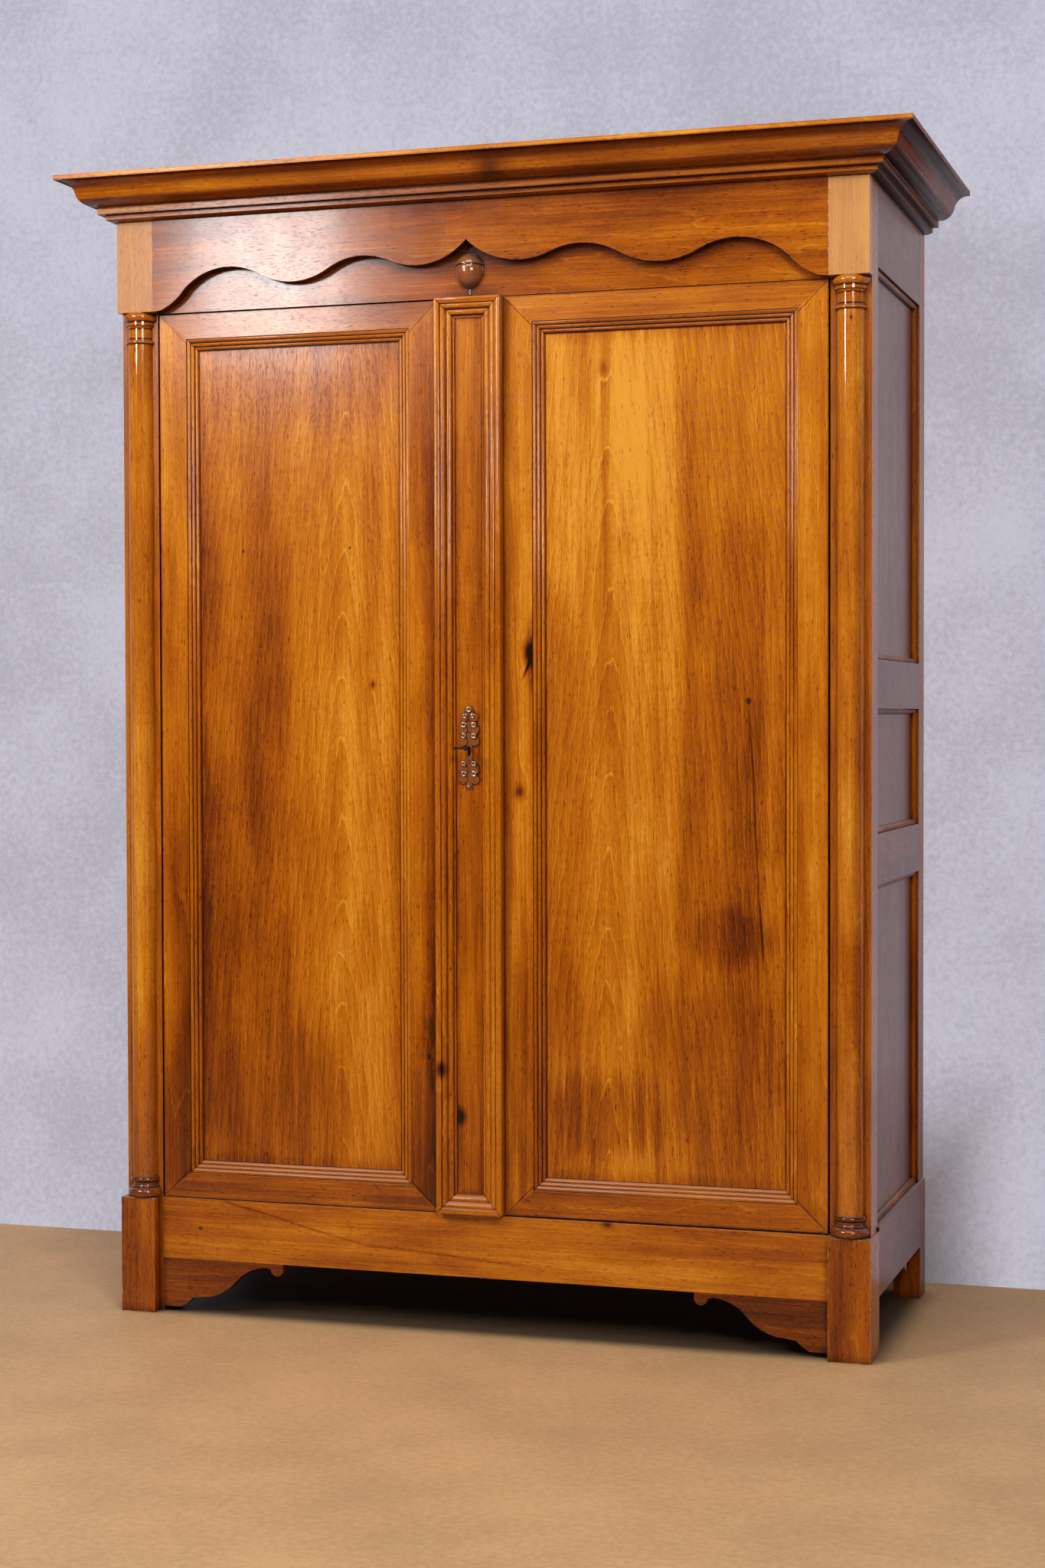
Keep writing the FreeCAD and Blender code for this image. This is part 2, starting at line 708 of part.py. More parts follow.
for side, sign in SIDES:
    lowest = side_rail(side, sign, "side_bottom", "side_clearance", "side_panel_low", True, False,
                       "plinth_x")
    subpart(joined(f"side_bottom_{side}_with_nub", lowest, side_nub(side, sign)),
            f"side_{side}_bottom_rail")
    subpart(gathered(f"side_middle_rails_{side}",
                     side_rail(side, sign, "side_low", "side_rail_low", "side_panel_middle",
                               True, True),
                     side_rail(side, sign, "side_high", "side_rail_high", "side_panel_high",
                               True, True)), f"side_{side}_middle_rails")
    subpart(side_rail(side, sign, "side_top", "side_top_rail_foot", "frieze_top", False, True),
            f"side_{side}_top_rail")
    subpart(gathered(f"side_panels_{side}",
                     side_panel(side, sign, "low_panel", "side_panel_low", "side_rail_low"),
                     side_panel(side, sign, "middle_panel", "side_panel_middle", "side_rail_high"),
                     side_panel(side, sign, "high_panel", "side_panel_high", "side_top_rail_foot")),
            f"side_{side}_panels")

# Back: three rails, two muntins and four panels


def back_board(name, left, right, foot, head):
    """A board as thin as the back's panels, in their plane."""
    return board(name, (left, "back_panel_y", foot), (right, "back_panel_y + panel_thickness", head))


def back_rail(name, foot, head, grooved_above, grooved_below):
    """A back rail with a stub tenon at each end, grooved where panels meet it."""
    core = board(f"{name}_core", ("-rear_post_x", "back_rail_y", foot), ("rear_post_x", "rear_y", head))
    tenon = back_board(f"{name}_tenon", "-rear_post_x - panel_tongue", "rear_post_x + panel_tongue",
                       foot, head)
    rail = joined(f"{name}_rail", core, tenon)
    grooves = []
    if grooved_above:
        grooves.append(back_board(f"{name}_upper_groove", "-half_width", "half_width",
                                  f"{head} - panel_tongue", f"{head} + cut_overrun"))
    if grooved_below:
        grooves.append(back_board(f"{name}_lower_groove", "-half_width", "half_width",
                                  f"{foot} - cut_overrun", f"{foot} + panel_tongue"))
    return cut(f"{name}_grooved", rail, *grooves)


def back_muntin(name, foot, head):
    """The upright between two back panels, tenoned into the rails' grooves."""
    half = "back_muntin_width / 2"
    core = board(f"{name}_core", (f"-{half}", "back_rail_y", foot), (half, "rear_y", head))
    tenon = back_board(f"{name}_tenon", f"-{half}", half, f"{foot} - panel_tongue",
                       f"{head} + panel_tongue")
    grooves = [
        back_board(f"{name}_left_groove", f"-{half} - cut_overrun", f"-{half} + panel_tongue",
                   f"{foot} - panel_tongue", f"{head} + panel_tongue"),
        back_board(f"{name}_right_groove", f"{half} - panel_tongue", f"{half} + cut_overrun",
                   f"{foot} - panel_tongue", f"{head} + panel_tongue")]
    return cut(f"{name}_grooved", joined(f"{name}_upright", core, tenon), *grooves)


def back_panel(name, sign, foot, head):
    """A back panel, its edges let into the grooves round it."""
    left, right = span(sign, "back_muntin_width / 2 - tongue_seat", "rear_post_x + tongue_seat")
    return back_board(name, left, right, f"{foot} - tongue_seat", f"{head} + tongue_seat")


subpart(gathered("back_frame_group",
                 back_rail("back_bottom", "back_bottom_rail_foot", "back_panel_low", True, False),
                 back_rail("back_middle", "back_middle_rail_foot", "back_panel_high", True, True),
                 back_rail("back_top", "back_top_rail_foot", "frieze_top", False, True),
                 back_muntin("low_muntin", "back_panel_low", "back_middle_rail_foot"),
                 back_muntin("high_muntin", "back_panel_high", "back_top_rail_foot")),
        "back_frame")
LEVELS = (("lower", "back_panel_low", "back_middle_rail_foot"),
          ("upper", "back_panel_high", "back_top_rail_foot"))
subpart(gathered("back_panels_group",
                 *[back_panel(f"back_{level}_panel_{side}", sign, foot, head)
                   for level, foot, head in LEVELS for side, sign in SIDES]), "back_panels")

# Floor, shelf and hanging rail

FLOOR_OUTLINE = [
    ("-lip_x + inner_gap", "front_rail_back_y + inner_gap"),
    ("lip_x - inner_gap", "front_rail_back_y + inner_gap"),
    ("lip_x - inner_gap", "post_back_y + inner_gap"), ("inner_x", "post_back_y + inner_gap"),
    ("inner_x", "rear_post_y - inner_gap"), ("rear_post_x - inner_gap", "rear_post_y - inner_gap"),
    ("rear_post_x - inner_gap", "back_rail_y - inner_gap"),
    ("-rear_post_x + inner_gap", "back_rail_y - inner_gap"),
    ("-rear_post_x + inner_gap", "rear_post_y - inner_gap"), ("-inner_x", "rear_post_y - inner_gap"),
    ("-inner_x", "post_back_y + inner_gap"), ("-lip_x + inner_gap", "post_back_y + inner_gap")]
subpart(sawn("floor_boards", "XY_Plane", "floor_thickness", ("0", "0", "floor_bottom"),
             FLOOR_OUTLINE), "floor_panel")


def cleat(name, sign, foot):
    """A batten along the inside of a side frame, butted between the posts."""
    return side_board(name, sign, "side_rail_x - cleat_width", "side_rail_x", "post_back_y",
                      "rear_post_y", foot, f"{foot} + cleat_height")


subpart(gathered("inner_cleats_group",
                 *[cleat(f"{name}_cleat_{side}", sign, foot) for side, sign in SIDES
                   for name, foot in (("floor", "floor_bottom - cleat_height"),
                                      ("shelf", "shelf_cleat_foot"))]), "inner_cleats")
subpart(board("shelf_board", ("-inner_x", "post_back_y + inner_gap", "shelf_bottom"),
              ("inner_x", "rear_post_y - inner_gap", "shelf_top")), "shelf")


def rail_socket(side, sign):
    """A block under the shelf's cleat, bored blind for the hanging rail's end."""
    block = side_board(f"socket_{side}_block", sign, "socket_x", "side_rail_x",
                       "hanging_rail_y - socket_width / 2", "hanging_rail_y + socket_width / 2",
                       "shelf_cleat_foot - socket_height", "shelf_cleat_foot")
    left, _ = span(sign, "socket_x - cut_overrun", "socket_x + socket_thickness / 2")
    bore = rod(f"socket_{side}_bore", "hanging_rail_radius", "socket_thickness / 2 + cut_overrun",
               (left, "hanging_rail_y", "hanging_rail_z"), Rotation(Vector(0, 1, 0), 90))
    return cut(f"socket_{side}", block, bore)


subpart(gathered("rail_sockets_group", *[rail_socket(side, sign) for side, sign in SIDES]),
        "rail_sockets")
subpart(rod("hanging_bar", "hanging_rail_radius", "2 * socket_x + socket_thickness - 2 * inner_gap",
            ("-socket_x - socket_thickness / 2 + inner_gap", "hanging_rail_y", "hanging_rail_z"),
            Rotation(Vector(0, 1, 0), 90)), "hanging_rail")

# Cornice: three mitred lengths, and the dust board that they frame

CORNICE_OUTLINE = [
    ("-cornice_seat", "0"), ("0", "0"),
    ("cornice_bead_step", "cornice_bead_height / 3",
     "0.55 * cornice_bead_step", "0.06 * cornice_bead_height"),
    ("cornice_bead_step", "cornice_bead_height"),
    ("cornice_bead_step + cornice_fillet_step", "cornice_bead_height"),
    ("cornice_bead_step + cornice_fillet_step", "cornice_bead_height + cornice_fillet_height"),
    ("cornice_overhang - cornice_cyma_width",
     "cornice_height - cornice_top_fillet - cornice_cyma_height"),
    ("cornice_overhang - cornice_cyma_width / 2",
     "cornice_height - cornice_top_fillet - cornice_cyma_height / 2",
     "cornice_overhang - 0.646 * cornice_cyma_width",
     "cornice_height - cornice_top_fillet - 0.854 * cornice_cyma_height"),
    ("cornice_overhang", "cornice_height - cornice_top_fillet",
     "cornice_overhang - 0.354 * cornice_cyma_width",
     "cornice_height - cornice_top_fillet - 0.146 * cornice_cyma_height"),
    ("cornice_overhang", "cornice_height"), ("-cornice_seat", "cornice_height")]


def moulded(name, plane, outline, length, corner, waste, rotation=None):
    """A length of moulding with its end or ends mitred on plan."""
    body = sawn(name, plane, length, corner, outline, rotation)
    mitring = body.newObject("PartDesign::Pocket", name + "_mitring")
    mitring.Profile = draw(body, "XY_Plane", *waste)
    mitring.Type = "ThroughAll"
    mitring.Midplane = True
    body.Tip = mitring
    return body


def mitre_waste(length, sign):
    """The triangle that a mitre takes off a moulding's end, on plan.

    The moulding runs along X, with its face towards lower Y, from zero to its length.
    """
    out, seat, over = "(cornice_overhang + cut_overrun)", "(cornice_seat + cut_overrun)", "cut_overrun"
    end = "0" if sign < 0 else length
    return [
        (f"{end} - {sign} * ({seat} + cornice_overhang)", seat),
        (f"{end} + {sign} * {over}", f"-{out}"), (f"{end} + {sign} * {over}", seat)]


FRONT_LENGTH = "body_width + 2 * cornice_overhang"
SIDE_LENGTH = "body_depth + cornice_overhang"
FACE_OUTLINE = [(f"-({stop[0]})", stop[1]) + ((f"-({stop[2]})", stop[3]) if len(stop) == 4 else ())
                for stop in CORNICE_OUTLINE]

subpart(moulded("cornice_front_length", "YZ_Plane", FACE_OUTLINE, FRONT_LENGTH,
                ("-half_width - cornice_overhang", "front_y", "frieze_top"),
                [mitre_waste(FRONT_LENGTH, -1), mitre_waste(FRONT_LENGTH, 1)]), "cornice_front")
subpart(moulded("cornice_right_length", "YZ_Plane", FACE_OUTLINE, SIDE_LENGTH,
                ("half_width", "front_y - cornice_overhang", "frieze_top"),
                [mitre_waste(SIDE_LENGTH, -1)], Rotation(Vector(0, 0, 1), 90)), "cornice_right")
subpart(moulded("cornice_left_length", "YZ_Plane", FACE_OUTLINE, SIDE_LENGTH,
                ("-half_width", "rear_y", "frieze_top"),
                [mitre_waste(SIDE_LENGTH, 1)], Rotation(Vector(0, 0, 1), -90)), "cornice_left")
subpart(board("dust_board", ("-cornice_inner_x + dust_board_gap", "cornice_inner_y + dust_board_gap",
                             "frieze_top"),
              ("cornice_inner_x - dust_board_gap", "rear_y", "frieze_top + dust_board_thickness")),
        "top_panel")

# Doors: mitred frames round flat panels, with a stepped moulding inside each frame

GROOVE_FRONT = "door_panel_depth"
GROOVE_BACK = "door_panel_depth + panel_thickness"


def frame_outline(width):
    """A door frame member's section, grooved along its inner edge."""
    return [
        ("0", "0"), ("door_thickness", "0"), ("door_thickness", width), (GROOVE_BACK, width),
        (GROOVE_BACK, f"{width} - panel_tongue"), (GROOVE_FRONT, f"{width} - panel_tongue"),
        (GROOVE_FRONT, width), ("0", width)]


# the reeded moulding's section: each reed's far end and crown, as shares of the moulding's
# width and of its height over the panel
REED_SHARES = [(0.30, 0.86, 0.16, 1.0), (0.36, 0.66), (0.62, 0.58, 0.49, 0.80),
               (0.68, 0.36), (0.94, 0.28, 0.81, 0.52), (1.0, 0.0)]


def reeded_outline():
    """The moulding's section: three reeds that step down to the panel."""
    height = "(door_panel_depth - moulding_sink)"
    outline = [(GROOVE_FRONT, "0"), (f"door_panel_depth - 0.8 * {height}", "0")]
    for share in REED_SHARES:
        stop = [f"{share[0]} * moulding_width", f"door_panel_depth - {share[1]} * {height}"]
        through = [f"{share[2]} * moulding_width", f"door_panel_depth - {share[3]} * {height}"
                   ] if len(share) == 4 else []
        outline.append(tuple(stop[::-1] + through[::-1]))
    return outline


def door_frame(side, left, right, foot):
    """The four mitred members of a door's frame, from its outer edges."""
    head = f"{foot} + door_height"
    wide = f"({right}) - ({left})"
    stile, rail = frame_outline("stile_width"), frame_outline("door_rail_width")
    upright = lambda name, x, z, turn: mitred(
        f"{side}_{name}", stile, "door_height", "stile_width", "door_rail_width",
        (x, "setback_y", z), turn)
    level = lambda name, x, z, turn: mitred(
        f"{side}_{name}", rail, wide, "door_rail_width", "stile_width", (x, "setback_y", z), turn)
    return {"left_stile": upright("left_stile", left, head, 90),
            "right_stile": upright("right_stile", right, foot, -90),
            "top_rail": level("top_rail", right, head, 180),
            "bottom_rail": level("bottom_rail", left, foot, 0)}


def pivot(side, sign, foot):
    """A door's two pivot pins, the lower one with a collar that carries the door."""
    axis = (f"{sign} * pivot_x", "pivot_y")
    length = "pivot_hold + pivot_reach"
    upper = rod(f"{side}_upper_pin", "pivot_radius", f"{length} + door_head - {foot} - door_height",
                axis + (f"{foot} + door_height - pivot_hold",))
    lower_pin = rod(f"{side}_lower_pin", "pivot_radius", f"{length} + {foot} - foot_height",
                    axis + ("foot_height - pivot_reach",))
    collar = rod(f"{side}_collar", "collar_radius", f"{foot} - foot_height - collar_clearance",
                 axis + ("foot_height + collar_clearance",))
    return gathered(f"{side}_pivot_group", upper, joined(f"{side}_lower_pivot", lower_pin, collar))


def pin_holes(name, sign, foot):
    """The holes in a door's frame that hold its pivot pins."""
    axis = (f"{sign} * pivot_x", "pivot_y")
    return [
        rod(f"{name}_lower_hole", "pivot_radius", "pivot_hold + cut_overrun",
            axis + (f"{foot} - cut_overrun",)),
        rod(f"{name}_upper_hole", "pivot_radius", "pivot_hold + cut_overrun",
            axis + (f"{foot} + door_height - pivot_hold",))]


DOORS = (("left", -1, "left_door_left", "left_door_right", "left_door_foot", "left_stile"),
         ("right", 1, "batten_right", "right_door_right", "right_door_foot", "right_stile"))

for side, sign, left, right, foot, hanging in DOORS:
    frame = door_frame(side, left, right, foot)
    meeting = "right_stile" if hanging == "left_stile" else "left_stile"
    bored_stile = cut(f"{side}_bored_stile", frame[hanging],
                      *pin_holes(f"{side}_stile", sign, foot))
    subpart(gathered(f"{side}_stiles_group", bored_stile, frame[meeting]), f"{side}_door_stiles")
    bored = [cut(f"{side}_bored_{rail}", frame[rail], *pin_holes(f"{side}_{rail}", sign, foot))
             for rail in ("top_rail", "bottom_rail")]
    subpart(gathered(f"{side}_rails_group", *bored), f"{side}_door_rails")
    inner = (f"{left} + stile_width", f"{right} - stile_width",
             f"{foot} + door_rail_width", f"{foot} + door_height - door_rail_width")
    subpart(board(f"{side}_panel_board",
                  (f"{inner[0]} - tongue_seat", "door_panel_y", f"{inner[2]} - tongue_seat"),
                  (f"{inner[1]} + tongue_seat", "door_panel_y + panel_thickness",
                   f"{inner[3]} + tongue_seat")), f"{side}_door_panel")
    subpart(gathered(f"{side}_moulding_group",
                     *mitred_frame(f"{side}_moulding", reeded_outline(), "moulding_width", *inner,
                                   "setback_y")), f"{side}_door_moulding")
    subpart(pivot(side, sign, foot), f"{side}_door_pivots")

# Cover strip on the right door: a thick post with its own stepped moulding


def keyhole(name, y_low, y_high):
    """A keyhole through the wood or metal between two depths: a round hole over a slot."""
    length = f"({y_high}) - ({y_low})"
    half_slot = "keyhole_slot_width / 2"
    hole = rod(f"{name}_round", "key_shank_radius + key_shank_clearance", length,
               ("-centre_offset", y_high, "keyhole_height"), Rotation(Vector(1, 0, 0), 90))
    slot = board(f"{name}_slot",
                 (f"-centre_offset - {half_slot}", y_low,
                  "keyhole_height - key_bit_reach - key_shank_clearance"),
                 (f"-centre_offset + {half_slot}", y_high, "keyhole_height"))
    return hole, slot


batten_core = board("batten_board", ("batten_left", "batten_panel_y", "right_door_foot"),
                    ("batten_right", "door_back_y", "right_door_foot + door_height"))
subpart(cut("batten_with_keyhole", batten_core,
            *keyhole("batten_keyhole", "batten_panel_y - cut_overrun", "door_back_y + cut_overrun")),
        "batten_post")

# the cover strip's moulding: a proud rim, then two reeds and a fillet down to its panel
BATTEN_SHARES = [(0.26, 0.92, 0.13, 1.0), (0.30, 0.72), (0.54, 0.62, 0.42, 0.88),
                 (0.60, 0.42), (0.86, 0.32, 0.73, 0.60), (0.90, 0.16), (1.0, 0.16), (1.0, 0.0)]


def batten_outline():
    """The section of the cover strip's moulding, from its outer edge in."""
    height = "batten_moulding_height"
    outline = [(height, "0"), (f"0.1 * {height}", "0")]
    for share in BATTEN_SHARES:
        stop = [f"{share[0]} * batten_moulding_width", f"(1 - {share[1]}) * {height}"]
        through = [f"{share[2]} * batten_moulding_width", f"(1 - {share[3]}) * {height}"
                   ] if len(share) == 4 else []
        outline.append(tuple(stop[::-1] + through[::-1]))
    return outline


subpart(gathered("batten_moulding_group",
                 *mitred_frame("batten_moulding", batten_outline(), "batten_moulding_width",
                               "batten_left", "batten_right", "right_door_foot",
                               "right_door_foot + door_height", "front_y")), "batten_moulding")

# Keyhole plate: a stem with pairs of raised bosses

# heights of the boss pairs over the keyhole, as shares of half the plate's height, and how
# far each stands to the side, as shares of the spread
BOSS_SHARES = [(0.90, 0.0), (0.74, 0.8), (0.44, 1.0), (0.16, 1.0), (-0.52, 1.0), (-0.76, 1.0)]


def keyhole_plate():
    """The pierced plate round the keyhole."""
    turn = Rotation(Vector(1, 0, 0), 90)
    stem = board("plate_stem",
                 ("-centre_offset - plate_stem_width / 2", "batten_panel_y - plate_thickness",
                  "keyhole_height - plate_height / 2"),
                 ("-centre_offset + plate_stem_width / 2", "batten_panel_y",
                  "keyhole_height + plate_height / 2"))
    bosses = []
    for up, out in BOSS_SHARES:
        for sign in ((-1, 1) if out else (1,)):
            bosses.append(rod(f"plate_boss_{len(bosses)}", "plate_boss_radius", "plate_boss_height",
                              (f"-centre_offset + {sign * out} * plate_boss_spread",
                               "batten_panel_y", f"keyhole_height + {up} * plate_height / 2"), turn))
    return cut("pierced_plate", joined("plate_body", stem, *bosses),
               *keyhole("plate_keyhole", "batten_panel_y - plate_boss_height - cut_overrun",
                        "batten_panel_y + cut_overrun"))


subpart(keyhole_plate(), "escutcheon")

# Lock: an open-backed case on the right door, its bolt, and the keeper on the left door

case_block = board("case_block", ("lock_left", "door_back_y", "lock_foot"),
                   ("lock_right", "lock_back_y", "lock_foot + lock_height"))
case_hollow = board("case_hollow", ("lock_left + lock_wall", "door_back_y - cut_overrun",
                                    "lock_foot + lock_wall"),
                    ("lock_right - lock_wall", "lock_back_y - lock_wall",
                     "lock_foot + lock_height - lock_wall"))
bolt_window = board("bolt_window", ("lock_left - cut_overrun", "bolt_y - bolt_clearance",
                                    "bolt_foot - bolt_clearance"),
                    ("lock_left + lock_wall + cut_overrun",
                     "bolt_y + bolt_thickness + bolt_clearance",
                     "bolt_foot + bolt_height + bolt_clearance"))
subpart(cut("hollow_case", case_block, case_hollow, bolt_window), "lock_case")

bolt_bar = board("bolt_bar", ("lock_left", "bolt_y", "bolt_foot"),
                 ("lock_left + bolt_length", "bolt_y + bolt_thickness", "bolt_foot + bolt_height"))
talon_middle = "-centre_offset + bolt_travel / 4"
talon = board("bolt_talon", (f"{talon_middle} - talon_width / 2", "bolt_y - cut_overrun",
                             "bolt_foot - cut_overrun"),
              (f"{talon_middle} + talon_width / 2", "bolt_y + bolt_thickness + cut_overrun",
               "keyhole_height + key_bit_reach + bolt_clearance"))
subpart(cut("notched_bolt", bolt_bar, talon), "lock_bolt")

keeper_plate = board("keeper_plate",
                     ("keeper_left", "door_back_y", "bolt_foot - keeper_flange"),
                     ("keeper_right", "door_back_y + keeper_wall",
                      "bolt_foot + bolt_height + keeper_flange"))
keeper_tube = board("keeper_tube",
                    ("keeper_left", "door_back_y", "bolt_foot - bolt_clearance - keeper_wall"),
                    ("keeper_right", "bolt_y + bolt_thickness + bolt_clearance + keeper_wall",
                     "bolt_foot + bolt_height + bolt_clearance + keeper_wall"))
keeper_window = board("keeper_window",
                      ("keeper_left - cut_overrun", "bolt_y - bolt_clearance",
                       "bolt_foot - bolt_clearance"),
                      ("keeper_right + cut_overrun", "bolt_y + bolt_thickness + bolt_clearance",
                       "bolt_foot + bolt_height + bolt_clearance"))
subpart(cut("keeper_box", joined("keeper_body", keeper_plate, keeper_tube), keeper_window),
        "lock_keeper")

# Key: an oval bow lying level, a shank through the keyhole, and a bit inside the lock

KEY_TURN = Rotation(Vector(1, 0, 0), 90)
bow_y = "batten_panel_y - key_stand_out - key_bow_depth / 2"
bow_rim = doc.addObject("Part::Ellipse", "bow_rim")
bow_hole = doc.addObject("Part::Ellipse", "bow_hole")
tie(bow_rim, "MajorRadius", "key_bow_width / 2")
tie(bow_rim, "MinorRadius", "key_bow_depth / 2")
tie(bow_hole, "MajorRadius", "key_bow_width / 2 - key_bow_bar")
tie(bow_hole, "MinorRadius", "key_bow_depth / 2 - key_bow_bar")


def oval(name, edge):
    """An oval disc as thick as the key's bow."""
    disc = doc.addObject("Part::Extrusion", name)
    disc.Base = edge
    disc.DirMode = "Custom"
    disc.Dir = Vector(0, 0, 1)
    disc.Solid = True
    tie(disc, "LengthFwd", "key_bow_thickness")
    place(edge, ("-centre_offset", bow_y, "keyhole_height - key_bow_thickness / 2"))
    return disc


bow = cut("key_bow", oval("bow_disc", bow_rim), oval("bow_opening", bow_hole))
shank_foot = "lock_back_y - lock_wall - key_shank_clearance"
shank = rod("key_shank", "key_shank_radius",
            f"{shank_foot} - batten_panel_y + key_stand_out + key_bow_bar / 2",
            ("-centre_offset", shank_foot, "keyhole_height"), KEY_TURN)
collar = rod("key_collar", "key_collar_radius", "key_collar_length",
             ("-centre_offset", "batten_panel_y - key_stand_out + 2 * key_collar_length",
              "keyhole_height"), KEY_TURN)
bit = board("key_bit", ("-centre_offset", "bolt_y - (key_bit_width - bolt_thickness) / 2",
                        "keyhole_height - key_bit_thickness / 2"),
            ("-centre_offset + key_bit_reach",
             "bolt_y + bolt_thickness + (key_bit_width - bolt_thickness) / 2",
             "keyhole_height + key_bit_thickness / 2"))
subpart(joined("whole_key", bow, shank, collar, bit), "key")

# Slide bolts behind the left door, one over the frieze rail's back, one behind the bottom rail


def slide_bolt(name, sign, door_edge):
    """A flat bolt that stands a little inside the door's edge, with a knob to push it by."""
    tip = f"{door_edge} - {sign} * slide_bolt_retreat"
    tail = f"{tip} - {sign} * slide_bolt_length"
    low, high = (tail, tip) if sign > 0 else (tip, tail)
    half = "slide_bolt_width / 2"
    bar = board(f"{name}_bar", (f"slide_bolt_x - {half}", "slide_bolt_y", low),
                (f"slide_bolt_x + {half}", "slide_bolt_y + slide_bolt_thickness", high))
    knob = rod(f"{name}_knob", "slide_knob_radius", "slide_knob_length + slide_bolt_thickness",
               ("slide_bolt_x", "slide_bolt_y + slide_bolt_thickness + slide_knob_length",
                f"{tail} + {sign} * slide_knob_radius"), KEY_TURN)
    return joined(name, bar, knob)


def slide_plate(name, sign, door_edge):
    """The plate and guide loop that a slide bolt runs in, on the back of the stile."""
    near = f"{door_edge} - {sign} * slide_plate_inset"
    far = f"{near} - {sign} * slide_plate_height"
    low, high = (far, near) if sign > 0 else (near, far)
    plate = board(f"{name}_plate", ("slide_bolt_x - slide_plate_width / 2", "door_back_y", low),
                  ("slide_bolt_x + slide_plate_width / 2",
                   "door_back_y + slide_plate_thickness - bolt_clearance", high))
    loop_low = near if sign < 0 else f"{near} - slide_guide_height"
    reach = "(slide_bolt_width / 2 + bolt_clearance)"
    outer = board(f"{name}_loop_block",
                  (f"slide_bolt_x - {reach} - slide_guide_wall", "door_back_y", loop_low),
                  (f"slide_bolt_x + {reach} + slide_guide_wall",
                   "slide_bolt_y + slide_bolt_thickness + bolt_clearance + slide_guide_wall",
                   f"{loop_low} + slide_guide_height"))
    inner = board(f"{name}_loop_hole",
                  (f"slide_bolt_x - {reach}", "slide_bolt_y - bolt_clearance",
                   f"{loop_low} - cut_overrun"),
                  (f"slide_bolt_x + {reach}", "slide_bolt_y + slide_bolt_thickness + bolt_clearance",
                   f"{loop_low} + slide_guide_height + cut_overrun"))
    return cut(f"{name}_guide", joined(f"{name}_body", plate, outer), inner)


door_top = "left_door_foot + door_height"
subpart(slide_bolt("upper_slide", 1, door_top), "upper_slide_bolt")
subpart(slide_bolt("lower_slide", -1, "left_door_foot"), "lower_slide_bolt")
subpart(gathered("slide_plates", slide_plate("upper_slide_plate", 1, door_top),
                 slide_plate("lower_slide_plate", -1, "left_door_foot")), "slide_bolt_plates")

# Build, check and write

doc.recompute()
for item in doc.Objects:
    if "Invalid" in item.State or "Error" in item.State:
        raise RuntimeError(f"{item.Label} did not build: {item.State}")
for item in SUBPARTS:
    if item.Shape.isNull() or not item.Shape.isValid():
        raise RuntimeError(f"{item.Label} has no valid shape")
for item in SUBPARTS:
    item.Shape.exportStep(f"parts/{item.Label}.step")
print(len(SUBPARTS), "sub-parts")
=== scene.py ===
import math
import bmesh
import bpy
from mathutils import Matrix, Vector


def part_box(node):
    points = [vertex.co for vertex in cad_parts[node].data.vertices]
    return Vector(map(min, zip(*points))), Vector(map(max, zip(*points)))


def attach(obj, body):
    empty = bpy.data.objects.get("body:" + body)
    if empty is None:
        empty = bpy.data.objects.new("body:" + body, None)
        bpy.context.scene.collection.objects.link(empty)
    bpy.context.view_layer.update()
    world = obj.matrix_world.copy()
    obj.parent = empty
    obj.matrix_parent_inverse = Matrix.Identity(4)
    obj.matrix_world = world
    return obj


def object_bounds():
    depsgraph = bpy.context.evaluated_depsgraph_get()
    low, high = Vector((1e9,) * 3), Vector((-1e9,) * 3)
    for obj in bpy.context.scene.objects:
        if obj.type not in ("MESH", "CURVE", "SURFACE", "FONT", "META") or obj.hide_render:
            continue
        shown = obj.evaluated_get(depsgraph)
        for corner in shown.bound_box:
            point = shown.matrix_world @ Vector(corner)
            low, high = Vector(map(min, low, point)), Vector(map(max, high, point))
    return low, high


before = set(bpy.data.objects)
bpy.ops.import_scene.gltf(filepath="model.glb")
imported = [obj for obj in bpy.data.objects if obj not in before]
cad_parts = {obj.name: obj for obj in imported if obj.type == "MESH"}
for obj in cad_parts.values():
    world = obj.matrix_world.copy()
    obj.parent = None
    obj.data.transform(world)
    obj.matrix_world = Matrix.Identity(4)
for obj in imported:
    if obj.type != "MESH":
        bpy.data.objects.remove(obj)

# The walnut wardrobe, dressed: polished and worn wood, mitred mouldings, a cast keyhole
# plate and an iron key. Lengths are in metres.

MM = 0.001
cad_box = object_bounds()


# Camera

LENS = 59.77
SENSOR = 36.0
EYE = (1.576, -4.952, 1.184)
PAN, TILT, ROLL = 17.62, 88.5, -0.14


def add_camera():
    """The camera stands to the right of the wardrobe, at the height of its keyhole."""
    data = bpy.data.cameras.new("photographer")
    data.lens = LENS
    data.sensor_width = SENSOR
    camera = bpy.data.objects.new("photographer", data)
    bpy.context.scene.collection.objects.link(camera)
    turn = Matrix.Rotation(math.radians(PAN), 4, "Z") @ Matrix.Rotation(math.radians(TILT), 4, "X")
    roll = Matrix.Rotation(math.radians(ROLL), 4, "Z")
    camera.matrix_world = Matrix.Translation(EYE) @ turn @ roll
    bpy.context.scene.camera = camera


add_camera()
bpy.context.scene.view_settings.view_transform = "Standard"


# Arithmetic on sockets

